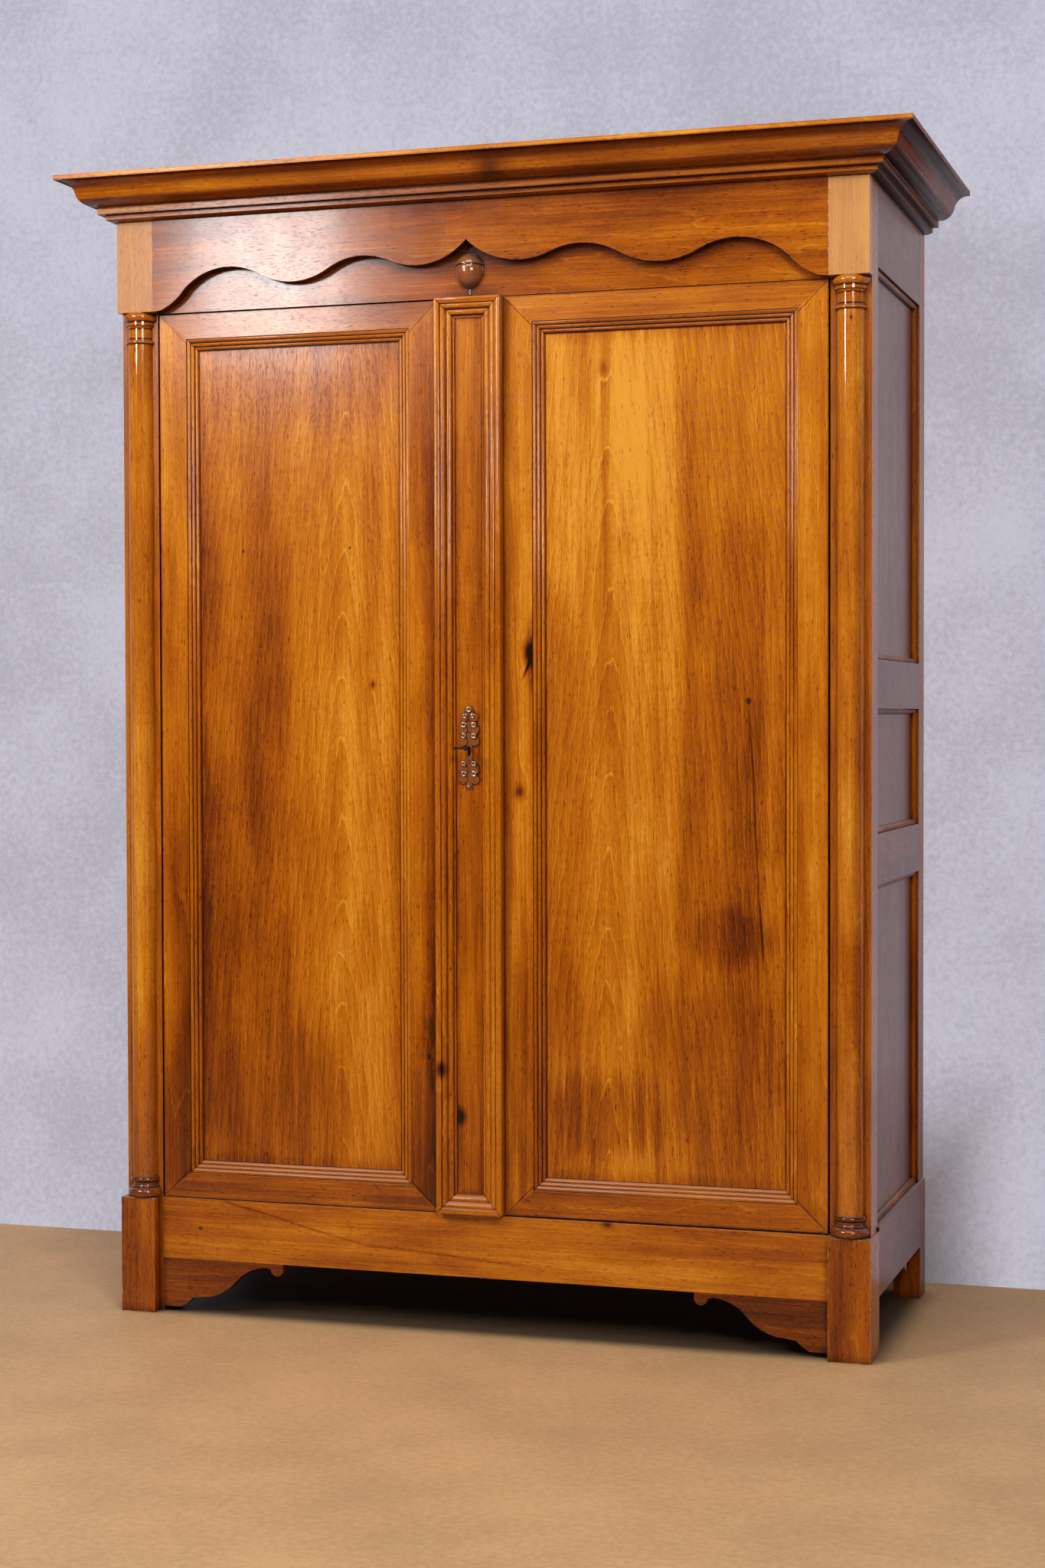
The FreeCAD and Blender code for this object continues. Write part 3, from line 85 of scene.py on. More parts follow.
class Wire:
    """A socket of a finish; arithmetic on it adds Math nodes."""

    def __init__(self, finish, socket):
        self.finish = finish
        self.socket = socket

    def math(self, operation, *values):
        return self.finish.add("ShaderNodeMath", {"operation": operation}, dict(enumerate(values)))

    def __add__(self, other):
        return self.math("ADD", self, other)

    def __radd__(self, other):
        return self.math("ADD", other, self)

    def __sub__(self, other):
        return self.math("SUBTRACT", self, other)

    def __rsub__(self, other):
        return self.math("SUBTRACT", other, self)

    def __mul__(self, other):
        return self.math("MULTIPLY", self, other)

    def __rmul__(self, other):
        return self.math("MULTIPLY", other, self)

    def __truediv__(self, other):
        return self.math("DIVIDE", self, other)

    def __pow__(self, other):
        return self.math("POWER", self, other)

    def __neg__(self):
        return self.math("MULTIPLY", self, -1.0)

    def __abs__(self):
        return self.math("ABSOLUTE", self)

    def root(self):
        return self.math("SQRT", self)

    def fade(self):
        """e to the minus this value: 1 at nothing, and near 0 past 3."""
        return self.math("EXPONENT", -self)

    def smaller(self, other):
        return self.math("MINIMUM", self, other)

    def larger(self, other):
        return self.math("MAXIMUM", self, other)

    def below(self, other):
        return self.math("LESS_THAN", self, other)

    def fraction(self):
        return self.math("FRACT", self)

    def rise(self, low, high):
        """0 under low, 1 over high and a smooth rise between; with low over high it falls."""
        ends = {"From Min": low, "From Max": high} if low < high else {
            "From Min": high, "From Max": low, "To Min": 1.0, "To Max": 0.0}
        return self.finish.add("ShaderNodeMapRange", {"interpolation_type": "SMOOTHSTEP"},
                               {"Value": self, **ends})

    def between(self, low, high, soft):
        """1 from low to high, with soft edges."""
        return self.rise(low - soft, low + soft) * self.rise(high + soft, high - soft)

    def sibling(self, output):
        """Another output of the same node."""
        return Wire(self.finish, self.socket.node.outputs[output])


class Finish:
    """A material in the making, on Object coordinates x, y and z in metres."""

    def __init__(self, name):
        self.material = bpy.data.materials.new(name)
        self.material.use_nodes = True
        self.tree = self.material.node_tree
        self.shader = self.tree.nodes["Principled BSDF"]
        self.place = self.add("ShaderNodeTexCoord", output="Object")
        self.x, self.y, self.z = self.parts(self.place)

    def add(self, kind, settings=None, values=None, output=0):
        """Adds a node, sets it up, fills its sockets with numbers or wires, and returns an output."""
        node = self.tree.nodes.new(kind)
        for name, value in (settings or {}).items():
            if name == "stops":
                self.set_stops(node.color_ramp, value)
            else:
                setattr(node, name, value)
        for name, value in (values or {}).items():
            self.fill(node.inputs[name], value)
        return Wire(self, node.outputs[output])

    def fill(self, socket, value):
        if isinstance(value, Wire):
            self.tree.links.new(value.socket, socket)
        else:
            socket.default_value = value

    def set_stops(self, ramp, stops):
        while len(ramp.elements) < len(stops):
            ramp.elements.new(0.5)
        for element, (at, colour) in zip(ramp.elements, stops):
            element.position = at
            element.color = (*colour, 1.0)

    def parts(self, vector):
        wire = self.add("ShaderNodeSeparateXYZ", values={"Vector": vector})
        return [wire.sibling(axis) for axis in range(3)]

    def vector(self, x, y, z):
        return self.add("ShaderNodeCombineXYZ", values={"X": x, "Y": y, "Z": z})

    def noise(self, vector, scale=1.0, detail=2.0, rough=0.5):
        return self.add("ShaderNodeTexNoise",
                        values={"Vector": vector, "Scale": scale, "Detail": detail, "Roughness": rough})

    def cells(self, vector, scale):
        """How far a point is from the nearest seed, and a number that each seed keeps."""
        near = self.add("ShaderNodeTexVoronoi", values={"Vector": vector, "Scale": scale, "Randomness": 1.0})
        return near, self.parts(near.sibling("Color"))[0]

    def open_sky(self, reach):
        """1 where a face lies open, and lower in corners and crevices."""
        return self.add("ShaderNodeAmbientOcclusion", {"samples": 6}, {"Distance": reach}, output="AO")

    def ramp(self, value, stops):
        return self.add("ShaderNodeValToRGB", {"stops": stops}, {"Fac": value})

    def blend(self, share, first, second):
        """Colour first, with share of colour second."""
        wire = self.add("ShaderNodeMix", {"data_type": "RGBA"})
        inputs = wire.socket.node.inputs
        for socket, value in zip((inputs[0], inputs[6], inputs[7]), (share, first, second)):
            self.fill(socket, value if isinstance(value, (Wire, float)) else (*value, 1.0))
        return wire.sibling(2)

    def set(self, **values):
        """Fills the shader's own sockets, named with underscores for spaces."""
        for name, value in values.items():
            socket = self.shader.inputs[name.replace("_", " ")]
            if socket.type == "RGBA" and not isinstance(value, Wire):
                value = (*value, 1.0)
            self.fill(socket, value)

    def bump(self, height, distance, strength=1.0):
        normal = self.add("ShaderNodeBump", values={
            "Height": height, "Distance": distance, "Strength": strength})
        self.set(Normal=normal)


# Walnut

# its colours from the darkest to the palest, bare wood, and the wax that fills its holes
WALNUT = [(0.0, (0.014, 0.003, 0.0005)), (0.2, (0.070, 0.011, 0.0005)), (0.4, (0.20, 0.036, 0.0006)),
          (0.6, (0.40, 0.093, 0.001)), (0.8, (0.60, 0.188, 0.004)), (1.0, (0.80, 0.35, 0.03))]
WORN = (0.56, 0.33, 0.18)
WAX = (0.02, 0.008, 0.004)
# pale dust on faces that look up: where it starts, where it is full, its share and colour
DUST = (0.80, 0.97, 0.45, (0.42, 0.33, 0.26))
# the same for a painted highlight on the upward faces of the reeds
REED_TOP_HIGHLIGHT = (0.2, 0.75, 0.45, (0.80, 0.40, 0.20))
# how far each part of the figure darkens or lightens the wood
ZONES, CLOUDS, STRANDS, THREADS, CURLS = 0.70, 0.46, 0.29, 0.44, 0.10
LATE_WOOD, SEAMS, PORES, PALE_FLECKS, DASHES = 0.45, 1.6, 0.17, 0.08, 0.25
# the grain is drawn aside as far as this from a knot, in its radii, and by this share
KNOT_REACH, KNOT_DRAW = 2.6, 0.8
# the dark line of a mitre: where it starts, where it is full, and how dark it is
MITRE_LINE = (1.8 * MM, 0.5 * MM, 0.42)
# how softly bands and veins end along the grain
BAND_END, VEIN_END = 0.22, 0.02
# chances for a worm hole along each metre
WORM_HOLES = 42.0


def mitre_mask(finish, rectangle):
    """1 on the two level lengths of a mitred frame and 0 on its upright ones, then how far
    a point is from the mitres and from the frame's outer edge."""
    left, right, foot, head = rectangle
    sideways = (finish.x - left).smaller(right - finish.x)
    upright = (finish.z - foot).smaller(head - finish.z)
    return upright.below(sideways), abs(upright - sideways), upright.smaller(sideways)


def grain_axes(finish, run):
    """Across the grain, into the board, and along the grain."""
    x, y, z = finish.x, finish.y, finish.z
    if isinstance(run, str):
        return {"x": (z, y, x), "y": (z, x, y), "z": (x, y, z), "side": (y, x, z)}[run]
    level = mitre_mask(finish, run)[0]
    return level * z + (1.0 - level) * x, y, level * x + (1.0 - level) * z


def spot(across, along, centre_across, centre_along, stretch):
    """The squared distance from a centre; stretch shortens it along the grain."""
    side = across - centre_across
    length = along - centre_along
    return side * side + length * length * stretch


def walnut(name, run, shift=0.0, tone=0.62, pith=None, bands=(), hearts=(), knots=(), pits=(), veins=(),
           rim=None, mitres=None, quirks=None, rubbed=None, level_shade_lines=(), contrast=1.0, gloss=0.2,
           relief=0.3, shine=0.5, under=(-0.5, -0.9, 0.3), darkening=0.10, faded=0.0, figure=0.07,
           crevice_dirt_and_shade=0.6, dust_and_sheen=DUST):
    """Old polished walnut. run is the axis of the grain, "side" on an upright board of a side, or a
    mitred frame's rectangle. pith is the middle of a flame figure, with the rings' spacing and taper.
    What lies across the grain comes before what lies along it: a band has its sides, its ends, how
    dark it is and how soft; a heart its centre, half its width and height, and how dark it is; a knot
    its centre, radius and darkness; a pit its centre and radius; a vein the places of its two ends,
    half its width and its darkness. rim is a rectangle with a noisy darker band inside its edge and a
    thin line of painted shade at the edge, quirks are lines of dirt and painted shade in a moulding,
    the level lines are lines of painted shade, lighter where their darkness is below nought, and
    rubbed is a rectangle with pale wear at its edge."""
    finish = Finish(name)
    x, z = finish.x, finish.z
    across, depth, along = grain_axes(finish, run)
    seed = 7.3 * shift

    def streaks(wide, long, detail=2.0, rough=0.5, extra=0.0):
        """Noise drawn out along the grain: wide and long are in patches for each metre."""
        where = finish.vector(across * wide + (seed + extra), depth * wide + 3.1 * extra, along * long + seed)
        return finish.noise(where, 1.0, detail, rough)

    # the grain wanders, and flows round each knot
    bent = across + (streaks(2.2, 0.8, 1.0) - 0.5) * 0.06 + (streaks(14.0, 3.5, 2.0, extra=2.0) - 0.5) * 0.004
    scars = 0.0
    for knot_across, knot_along, radius, dark in knots:
        reach = spot(across, along, knot_across, knot_along, 0.16) / (KNOT_REACH * radius) ** 2
        bent = bent - (across - knot_across) * reach.fade() * KNOT_DRAW
        core = (spot(across, along, knot_across, knot_along, 0.45) / radius ** 2).fade()
        scars = core * dark + scars
    # growth rings of a board sawn at some distance from the pith
    if pith:
        middle_line, spacing, taper = pith
        away = bent - middle_line
        rings = (away * away + 0.0003).root() / spacing + along * (taper / spacing)
    else:
        rings = bent * 40.0 + along * 1.2 + (streaks(7.0, 0.5, 2.0, extra=4.0) - 0.5) * 9.0
    rings = rings + (streaks(9.0, 3.0, 2.0, extra=5.0) - 0.5) * 1.6
    rings = rings + (streaks(90.0, 26.0, 1.0, extra=6.0) - 0.5) * 0.35
    ring = rings.fraction()
    late = ring.rise(0.30, 0.90) * ring.rise(1.0, 0.95)
    seam = ring.rise(0.90, 0.96) * ring.rise(1.0, 0.97)
    # broad light and dark zones, strands, threads, pores and a faint cross figure
    zone = streaks(5.5, 0.35, 3.0, 0.6, extra=11.0) - 0.5
    cloud = streaks(15.0, 4.5, 3.0, 0.6, extra=13.0) - 0.5
    strand = streaks(38.0, 0.9, 2.0, 0.6, extra=15.0) - 0.5
    thread = streaks(350.0, 6.5, 3.0, 0.7, extra=17.0) - 0.5
    fleck = streaks(560.0, 90.0, 2.0, 0.5, extra=19.0)
    pores = fleck.rise(0.57, 0.68)
    curl = (streaks(13.0, 150.0, 2.0, extra=23.0) - 0.5) * streaks(6.0, 2.5, 1.0, extra=24.0).rise(0.45, 0.68)
    value = tone + zone * (ZONES * contrast) + cloud * (CLOUDS * contrast) + strand * (STRANDS * contrast)
    value = value + thread * THREADS + curl * CURLS - pores * PORES
    value = value - late * (LATE_WOOD * figure) + seam * (SEAMS * figure)
    value = value + fleck.rise(0.40, 0.30) * PALE_FLECKS
    ragged = strand * 0.5 + thread * 0.25
    for left, right, foot, head, dark, soft in bands:
        reach = (bent + ragged * 0.05).between(left, right, soft) * along.between(foot, head, BAND_END)
        value = value - reach * (1.0 + strand * 2.0) * dark
    for heart_across, heart_along, half_wide, half_high, dark in hearts:
        sideways = abs((bent - heart_across) / half_wide) ** 3.0
        lengthways = ((along - heart_along) / half_high) ** 2.0
        value = value - (sideways + lengthways + ragged * 5.0).rise(1.6, 0.1) * dark
    if knots:
        value = value - scars
    for from_across, from_along, to_across, to_along, half_wide, dark in veins:
        slope = (to_across - from_across) / (to_along - from_along)
        offset = (across + cloud * 0.012 - from_across - (along - from_along) * slope) / half_wide
        ends = sorted((from_along, to_along))
        reach = (offset * offset).fade() * along.between(*ends, VEIN_END)
        value = value - reach * (dark + strand * dark * 2.0)
    # darker bands inside edges, dirt and painted shade in quirks and crevices, and lines of painted shade
    dirt_and_shade_noise = streaks(38.0, 9.0, 2.0, 0.6, extra=31.0)
    if rim:
        left, right, foot, head, width, dark = rim
        near = ((x - left).smaller(right - x)).smaller((z - foot).smaller(head - z))
        beside = near.rise(-4.0 * MM, -1.0 * MM)
        # a noisy darker band inside the rectangle's edge, and a thin line of painted shade right at the edge
        value = value - near.rise(width, 0.0) * beside * (dirt_and_shade_noise * 1.3) * dark
        value = value - near.rise(2.2 * MM, 0.4 * MM) * beside * 0.35
    if quirks:
        frame_edges, places, half_wide = quirks
        from_edge = mitre_mask(finish, frame_edges)[2]
        for place in places:
            offset = (from_edge - place) / half_wide
            # dirt and painted shade in each groove between the reeds
            value = value - (offset * offset).fade() * (dirt_and_shade_noise * 0.4 + 0.12)
    # level lines of painted shade; a darkness below nought lightens instead
    for height, half_wide, dark in level_shade_lines:
        offset = (z - height) / half_wide
        value = value - (offset * offset).fade() * dark
    # the ambient occlusion darkens corners, crevices and gaps: dirt and painted shade
    value = value - finish.open_sky(30.0 * MM).rise(0.80, 0.25) * (dirt_and_shade_noise * 0.6 + 0.5) * crevice_dirt_and_shade
    if mitres:
        open_joint, tight_joint, dark = MITRE_LINE
        value = value - mitre_mask(finish, mitres)[1].rise(open_joint, tight_joint) * dark
    # painted shade: faces that look down are darker, and the wood darkens towards the floor
    front_facing, facing = finish.parts(finish.add("ShaderNodeNewGeometry", output="Normal"))[1:]
    value = value - facing.rise(*under[:2]) * under[2] - z.rise(1.0, 0.1) * darkening
    # short dark dashes lie along the grain
    dashes, lot = finish.cells(finish.vector(across * 210.0, depth * 210.0, along * 48.0 + seed), 1.0)
    value = value - dashes.rise(0.30, 0.12) * lot.rise(0.78, 0.88) * DASHES
    colour = finish.ramp(value, WALNUT)
    # pale dust on faces that look up; on the reeded mouldings this paints a highlight on the reeds' upper
    # faces instead
    dust = facing.rise(*dust_and_sheen[:2]) * dust_and_sheen[2]
    colour = finish.blend(dust, colour, dust_and_sheen[3])
    if faded:
        colour = finish.blend(faded, colour, WORN)
    if rubbed:
        inner, outer, foot, head, reach = rubbed
        edge = (abs(x) - inner).smaller(outer - abs(x)).smaller(head - z).smaller(z - foot)
        chips = finish.noise(finish.place, 60.0, 4.0, 0.7)
        pale = (edge / reach + (0.62 - chips) * 5.0).rise(1.0, 0.3)
        colour = finish.blend(pale * abs(front_facing).rise(0.4, 0.8) * 0.75, colour, WORN)
    # worm holes and small pits
    burrows, lot = finish.cells(finish.place, WORM_HOLES)
    holes = burrows.rise(0.055, 0.035) * lot.rise(0.80, 0.84)
    for pit_across, pit_along, radius in pits:
        away = spot(across, along, pit_across, pit_along, 0.5).root()
        holes = holes.larger(away.rise(radius, radius * 0.6))
    colour = finish.blend(holes * 0.85, colour, WAX)
    polish = finish.noise(finish.place, 26.0, 3.0, 0.6)
    finish.set(Base_Color=colour, Roughness=gloss + polish * 0.12 + pores * 0.1 + dust * 0.5, IOR=1.42,
               Specular_IOR_Level=shine, Coat_Weight=0.24 * shine, Coat_Roughness=0.08, Coat_IOR=1.5)
    finish.bump(polish * 0.35 + thread * 0.25 - pores * 0.35 - holes * 2.0, 1.2 * MM, relief)
    return finish.material


def worn_walnut(name, tone, bare, gloss=0.14):
    """The rubbed arrises of the walnut, bare and pale in places."""
    finish = Finish(name)
    rubbed = finish.noise(finish.place, 90.0, 3.0, 0.65).rise(0.48, 0.62)
    dark = finish.noise(finish.place, 14.0, 2.0, 0.5)
    colour = finish.ramp(tone + (dark - 0.5) * 0.5, WALNUT)
    finish.set(Base_Color=finish.blend(rubbed * bare, colour, WORN), Roughness=gloss + rubbed * 0.3,
               Specular_IOR_Level=0.4)
    return finish.material


# Bare wood and metals

BARE_WOOD = [(0.0, (0.11, 0.050, 0.020)), (0.4, (0.28, 0.145, 0.060)), (0.7, (0.42, 0.25, 0.115)),
             (1.0, (0.56, 0.37, 0.20))]
HOUSE_DUST = (0.42, 0.36, 0.29)
TARNISH = (0.03, 0.02, 0.015)
CORNER_DIRT_AND_SHADE = (0.03, 0.008, 0.003)


def plain_wood(name, run, shift=0.0, uprights=()):
    """Unpolished old boards inside the wardrobe and at its back. In a frame of rails, the
    pieces at the heights of uprights stand."""
    finish = Finish(name)
    turned = {"x": (finish.z, finish.x), "z": (finish.x, finish.z), "level": (finish.y * 3.0, finish.x)}
    across, along = turned[run]
    for foot, head in uprights:
        stands = finish.z.between(foot, head, 0.1 * MM)
        across = stands * finish.x + (1.0 - stands) * across
        along = stands * finish.z + (1.0 - stands) * along

    def streaks(wide, long, detail, extra):
        where = finish.vector(across * wide + shift + extra, finish.y * 4.0, along * long + shift)
        return finish.noise(where, 1.0, detail, 0.6)

    strands = streaks(90.0, 3.0, 2.0, 4.0)
    value = 0.5 + (streaks(7.0, 0.8, 3.0, 1.0) - 0.5) * 0.8 + (strands - 0.5) * 0.35
    pores = streaks(420.0, 16.0, 1.0, 8.0).rise(0.6, 0.75)
    colour = finish.ramp(value - pores * 0.12, BARE_WOOD)
    dust = finish.noise(finish.place, 5.0, 4.0, 0.6).rise(0.45, 0.8)
    finish.set(Base_Color=finish.blend(dust * 0.15, colour, HOUSE_DUST), Roughness=0.62 + dust * 0.2)
    finish.bump(strands - pores * 0.6, 1.0 * MM, 0.5)
    return finish.material


def old_metal(name, bright, dull, spots, roughness, bare=1.0):
    """Metal tarnished dark in patches, with dirt and painted shade in its corners."""
    finish = Finish(name)
    darkening = finish.noise(finish.place, 140.0, 4.0, 0.65).rise(0.42, 0.68)
    grit = finish.noise(finish.place, 900.0, 2.0, 0.5)
    colour = finish.blend(darkening, bright, dull)
    colour = finish.blend((grit - 0.5).larger(0.0) * spots, colour, TARNISH)
    # dirt and painted shade in the corners
    colour = finish.blend(finish.open_sky(6.0 * MM).rise(0.85, 0.35) * 0.8, colour, CORNER_DIRT_AND_SHADE)
    finish.set(Base_Color=colour, Metallic=bare - darkening * 0.25, Roughness=roughness + darkening * 0.25)
    finish.bump(grit * 0.4 - darkening * 0.5, 0.6 * MM, 0.4)
    return finish.material


# Where each board lies, read from the frame

def rectangle(node):
    low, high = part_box(node)
    return low.x, high.x, low.z, high.z


left_door = rectangle("left_door_stiles")
right_door = rectangle("right_door_stiles")
left_sight = rectangle("left_door_moulding")
right_sight = rectangle("right_door_moulding")
strip = rectangle("batten_moulding")
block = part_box("frieze_block_right")
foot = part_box("foot_block_right")
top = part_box("cornice_front")
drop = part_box("acorn_drop")
base_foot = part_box("column_base_left")[0].z
capital_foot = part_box("column_capital_left")[0].z
# lines of dirt and painted shade in the grooves between the reeds, from each moulding's outer edge, and half
# their width
SIGHT_LINES = ((0.0, 8.3 * MM, 15.9 * MM, 23.6 * MM), 0.9 * MM)
STRIP_LINES = ((11.0 * MM, 22.2 * MM, 34.2 * MM, 38.6 * MM), 1.0 * MM)
# lines of painted shade between the turned rings, up from the foot of each piece
BASE_LINES = [(base_foot + up * MM, 1.3 * MM, 0.48) for up in (0.5, 20.5, 31.0, 39.5)]
CAPITAL_LINES = [(capital_foot + up * MM, 1.4 * MM, 0.58) for up in (0.5, 11.0, 30.5, 43.5)]
# lines of painted shade between the cornice's members, and a lighter band along its top fillet
CORNICE_LINES = [(top[0].z + 13.0 * MM, 2.0 * MM, 0.35), (top[0].z + 25.0 * MM, 2.0 * MM, 0.35),
                 (top[1].z - 9.5 * MM, 1.6 * MM, 0.35), (top[1].z - 4.0 * MM, 3.0 * MM, -0.14)]
# painted shade in the acorn drop's groove, and painted shade darkening it towards its tip
DROP_LINES = [(drop[1].z - 20.8 * MM, 1.1 * MM, 0.6), (drop[0].z, 22.0 * MM, 0.30)]
# the upright pieces of the back's frame, as foot and head
MUNTINS = ((0.240, 1.060), (1.150, 2.028))
SIDE_RAILS = [f"side_{side}_{rail}" for side in ("left", "right")
              for rail in ("top_rail", "middle_rails", "bottom_rail")]


def finished(material, *nodes):
    for node in nodes:
        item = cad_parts[node]
        for holder in item.material_slots:
            holder.material = material
        if not item.material_slots:
            item.data.materials.append(material)


def inside(rect, width, dark, inset=0.0):
    """A rim of dirt as wide as width, inside a rectangle that is inset on all sides."""
    left, right, foot_level, head_level = rect
    return left + inset, right - inset, foot_level + inset, head_level - inset, width, dark


# what boards of one kind share
PANEL = {"figure": 0.13, "gloss": 0.15, "shine": 0.4}
DOOR_FRAME = {"gloss": 0.14, "shine": 0.4, "contrast": 1.2}
# the reeded mouldings take little crevice dirt and painted shade, and a painted highlight on their reeds'
# upper faces
REEDED = {"gloss": 0.09, "shine": 0.44, "crevice_dirt_and_shade": 0.15, "dust_and_sheen": REED_TOP_HIGHLIGHT}
FRIEZE = {"gloss": 0.12, "relief": 0.06, "shine": 0.6}
TURNED = {"contrast": 0.7, "relief": 0.03}
SIDE = {"relief": 0.02, "contrast": 0.6, "darkening": 0.03, "shine": 0.44}
PANEL_RIM = (0.03, 0.16, 0.024)
DOOR_RIM = (0.008, 0.10)

finished(walnut("walnut_left_panel", "z", 1.0, 0.74, pith=(-0.278, 0.0155, 0.12), **PANEL,
                bands=[(-0.590, -0.385, 0.45, 1.62, 0.13, 0.012), (-0.49, -0.41, 0.85, 1.35, 0.08, 0.03),
                       (-0.66, -0.52, 0.2, 1.00, 0.19, 0.03)],
                hearts=[(-0.40, 0.42, 0.15, 0.16, 0.12), (-0.36, 1.84, 0.2, 0.10, 0.10)],
                knots=[(-0.226, 1.245, 0.005, 0.5)],
                pits=[(-0.272, 1.510, 0.0028), (-0.496, 1.508, 0.003), (-0.315, 1.192, 0.0014)],
                rim=inside(left_sight, *PANEL_RIM)), "left_door_panel")
finished(walnut("walnut_right_panel", "z", 2.0, 0.79, pith=(0.240, 0.0160, 0.12), **PANEL,
                bands=[(0.385, 0.548, 0.70, 1.62, 0.15, 0.014), (0.47, 0.545, 0.62, 1.25, 0.08, 0.02),
                       (0.10, 0.17, 0.3, 1.2, 0.04, 0.03), (0.08, 0.36, 1.40, 2.0, -0.20, 0.06)],
                veins=[(0.517, 1.20, 0.546, 0.72, 0.0016, 0.28)],
                hearts=[(0.488, 0.768, 0.085, 0.055, 0.16), (0.43, 0.52, 0.16, 0.16, 0.10),
                        (0.247, 0.43, 0.10, 0.08, 0.20)],
                knots=[(0.239, 1.835, 0.009, 0.25)],
                pits=[(0.517, 1.210, 0.006), (0.30, 1.02, 0.0015)],
                rim=inside(right_sight, *PANEL_RIM)), "right_door_panel")
# the left stiles darken strongly towards the floor: painted shade
finished(walnut("walnut_left_stiles", "z", 3.0, 0.74, darkening=0.32, **DOOR_FRAME,
                hearts=[(-0.112, 0.70, 0.016, 0.22, 0.14), (-0.12, 0.98, 0.02, 0.12, 0.09)],
                bands=[(-0.115, -0.08, 0.25, 1.75, 0.16, 0.01), (-0.645, -0.60, 0.25, 0.95, 0.17, 0.02)],
                pits=[(-0.108, 0.529, 0.006)], mitres=left_door,
                rim=inside(left_door, *DOOR_RIM)), "left_door_stiles")
finished(walnut("walnut_left_rails", "x", 4.0, 0.64, gloss=0.14, relief=0.1, shine=0.6,
                bands=[(0.20, 0.37, -2.0, 2.0, -0.12, 0.02)], hearts=[(0.25, -0.13, 0.03, 0.10, 0.10)],
                mitres=left_door, rim=inside(left_door, *DOOR_RIM)), "left_door_rails")
finished(walnut("walnut_right_stiles", "z", 5.0, 0.74, **DOOR_FRAME,
                bands=[(0.58, 0.68, 1.5, 2.1, -0.14, 0.02)],
                veins=[(0.119, 1.345, 0.087, 1.265, 0.0032, 0.7), (0.104, 1.37, 0.100, 1.24, 0.002, 0.3),
                       (0.060, 1.60, 0.075, 1.05, 0.0016, 0.16)],
                hearts=[(0.09, 0.55, 0.035, 0.25, 0.16), (0.60, 0.95, 0.03, 0.16, 0.12),
                        (0.105, 1.30, 0.02, 0.08, 0.2)],
                knots=[(0.100, 1.303, 0.013, 0.9), (0.076, 1.04, 0.008, 0.5)], mitres=right_door,
                rim=inside(right_door, *DOOR_RIM)), "right_door_stiles")
finished(walnut("walnut_right_rails", "x", 6.0, 0.66, mitres=right_door,
                rim=inside(right_door, *DOOR_RIM)), "right_door_rails")
finished(walnut("walnut_left_moulding", left_sight, 7.0, 0.68, mitres=left_sight,
                quirks=(left_sight, *SIGHT_LINES), **REEDED), "left_door_moulding")
finished(walnut("walnut_right_moulding", right_sight, 8.0, 0.68, mitres=right_sight,
                quirks=(right_sight, *SIGHT_LINES), **REEDED), "right_door_moulding")
finished(walnut("walnut_strip", "z", 9.0, 0.76, hearts=[(-0.07, 0.85, 0.02, 0.35, 0.2)],
                knots=[(-0.041, 0.417, 0.009, 0.75)], rim=inside(strip, 0.02, 0.25, 0.036),
                **DOOR_FRAME), "batten_post")
finished(walnut("walnut_strip_moulding", strip, 10.0, 0.70, knots=[(-0.076, 0.508, 0.009, 0.75)],
                mitres=strip, quirks=(strip, *STRIP_LINES), **REEDED), "batten_moulding")
finished(walnut("walnut_posts", "z", 11.0, 0.62), "post_front_left", "post_front_right")
# the rear posts darken strongly towards the floor: painted shade
finished(walnut("walnut_rear_posts", "z", 27.0, 0.62, gloss=0.26, relief=0.02, darkening=0.22, shine=0.25),
         "post_rear_left", "post_rear_right")
# the bands paint shade over the left block and light onto the right one
finished(walnut("walnut_blocks", "z", 12.0, 0.83, contrast=0.8, faded=0.46, shine=0.35,
                bands=[(-0.9, -0.6, 1.8, 2.4, 0.13, 0.01), (0.6, 0.9, 1.8, 2.4, -0.11, 0.01)],
                rubbed=(block[0].x, block[1].x, block[0].z, block[1].z, 3.0 * MM)),
         "frieze_block_left", "frieze_block_right")
# the bands paint shade over the left foot and light onto the right one
finished(walnut("walnut_feet", "z", 13.0, 0.65,
                bands=[(-0.9, -0.6, -0.5, 0.6, 0.04, 0.01), (0.6, 0.9, -0.5, 0.6, -0.07, 0.01)],
                rubbed=(foot[0].x, foot[1].x, foot[0].z - 0.05, foot[1].z, 2.0 * MM)),
         "foot_block_left", "foot_block_right")
# the shafts darken towards the floor: painted shade
finished(walnut("walnut_columns", "z", 14.0, 0.76, gloss=0.0, relief=0.04, contrast=1.3, darkening=0.18,
                shine=0.9, pits=[(0.714, 1.903, 0.0035), (-0.710, 1.907, 0.0035)]),
         "column_shaft_left", "column_shaft_right")
finished(walnut("walnut_bases", "x", 15.0, 0.50, gloss=-0.01, shine=0.8, crevice_dirt_and_shade=0.3, level_shade_lines=BASE_LINES,
                **TURNED), "column_base_left", "column_base_right")
finished(walnut("walnut_capitals", "x", 15.0, 0.66, gloss=0.0, shine=0.8, crevice_dirt_and_shade=0.8, level_shade_lines=CAPITAL_LINES,
                **TURNED), "column_capital_left", "column_capital_right")
finished(walnut("walnut_acorn", "z", 25.0, 0.46, gloss=0.03, shine=1.0, faded=0.13, level_shade_lines=DROP_LINES,
                **TURNED), "acorn_drop")
# the frieze board's underside is darkened strongly: painted shade
finished(walnut("walnut_frieze", "x", 16.0, 0.51, contrast=1.2, bands=[(1.9, 2.3, 0.42, 0.9, -0.07, 0.02)],
                under=(-0.02, -0.3, 0.8), **FRIEZE), "frieze_board")
finished(walnut("walnut_frieze_rail", "x", 17.0, 0.52, **FRIEZE), "frieze_rail")
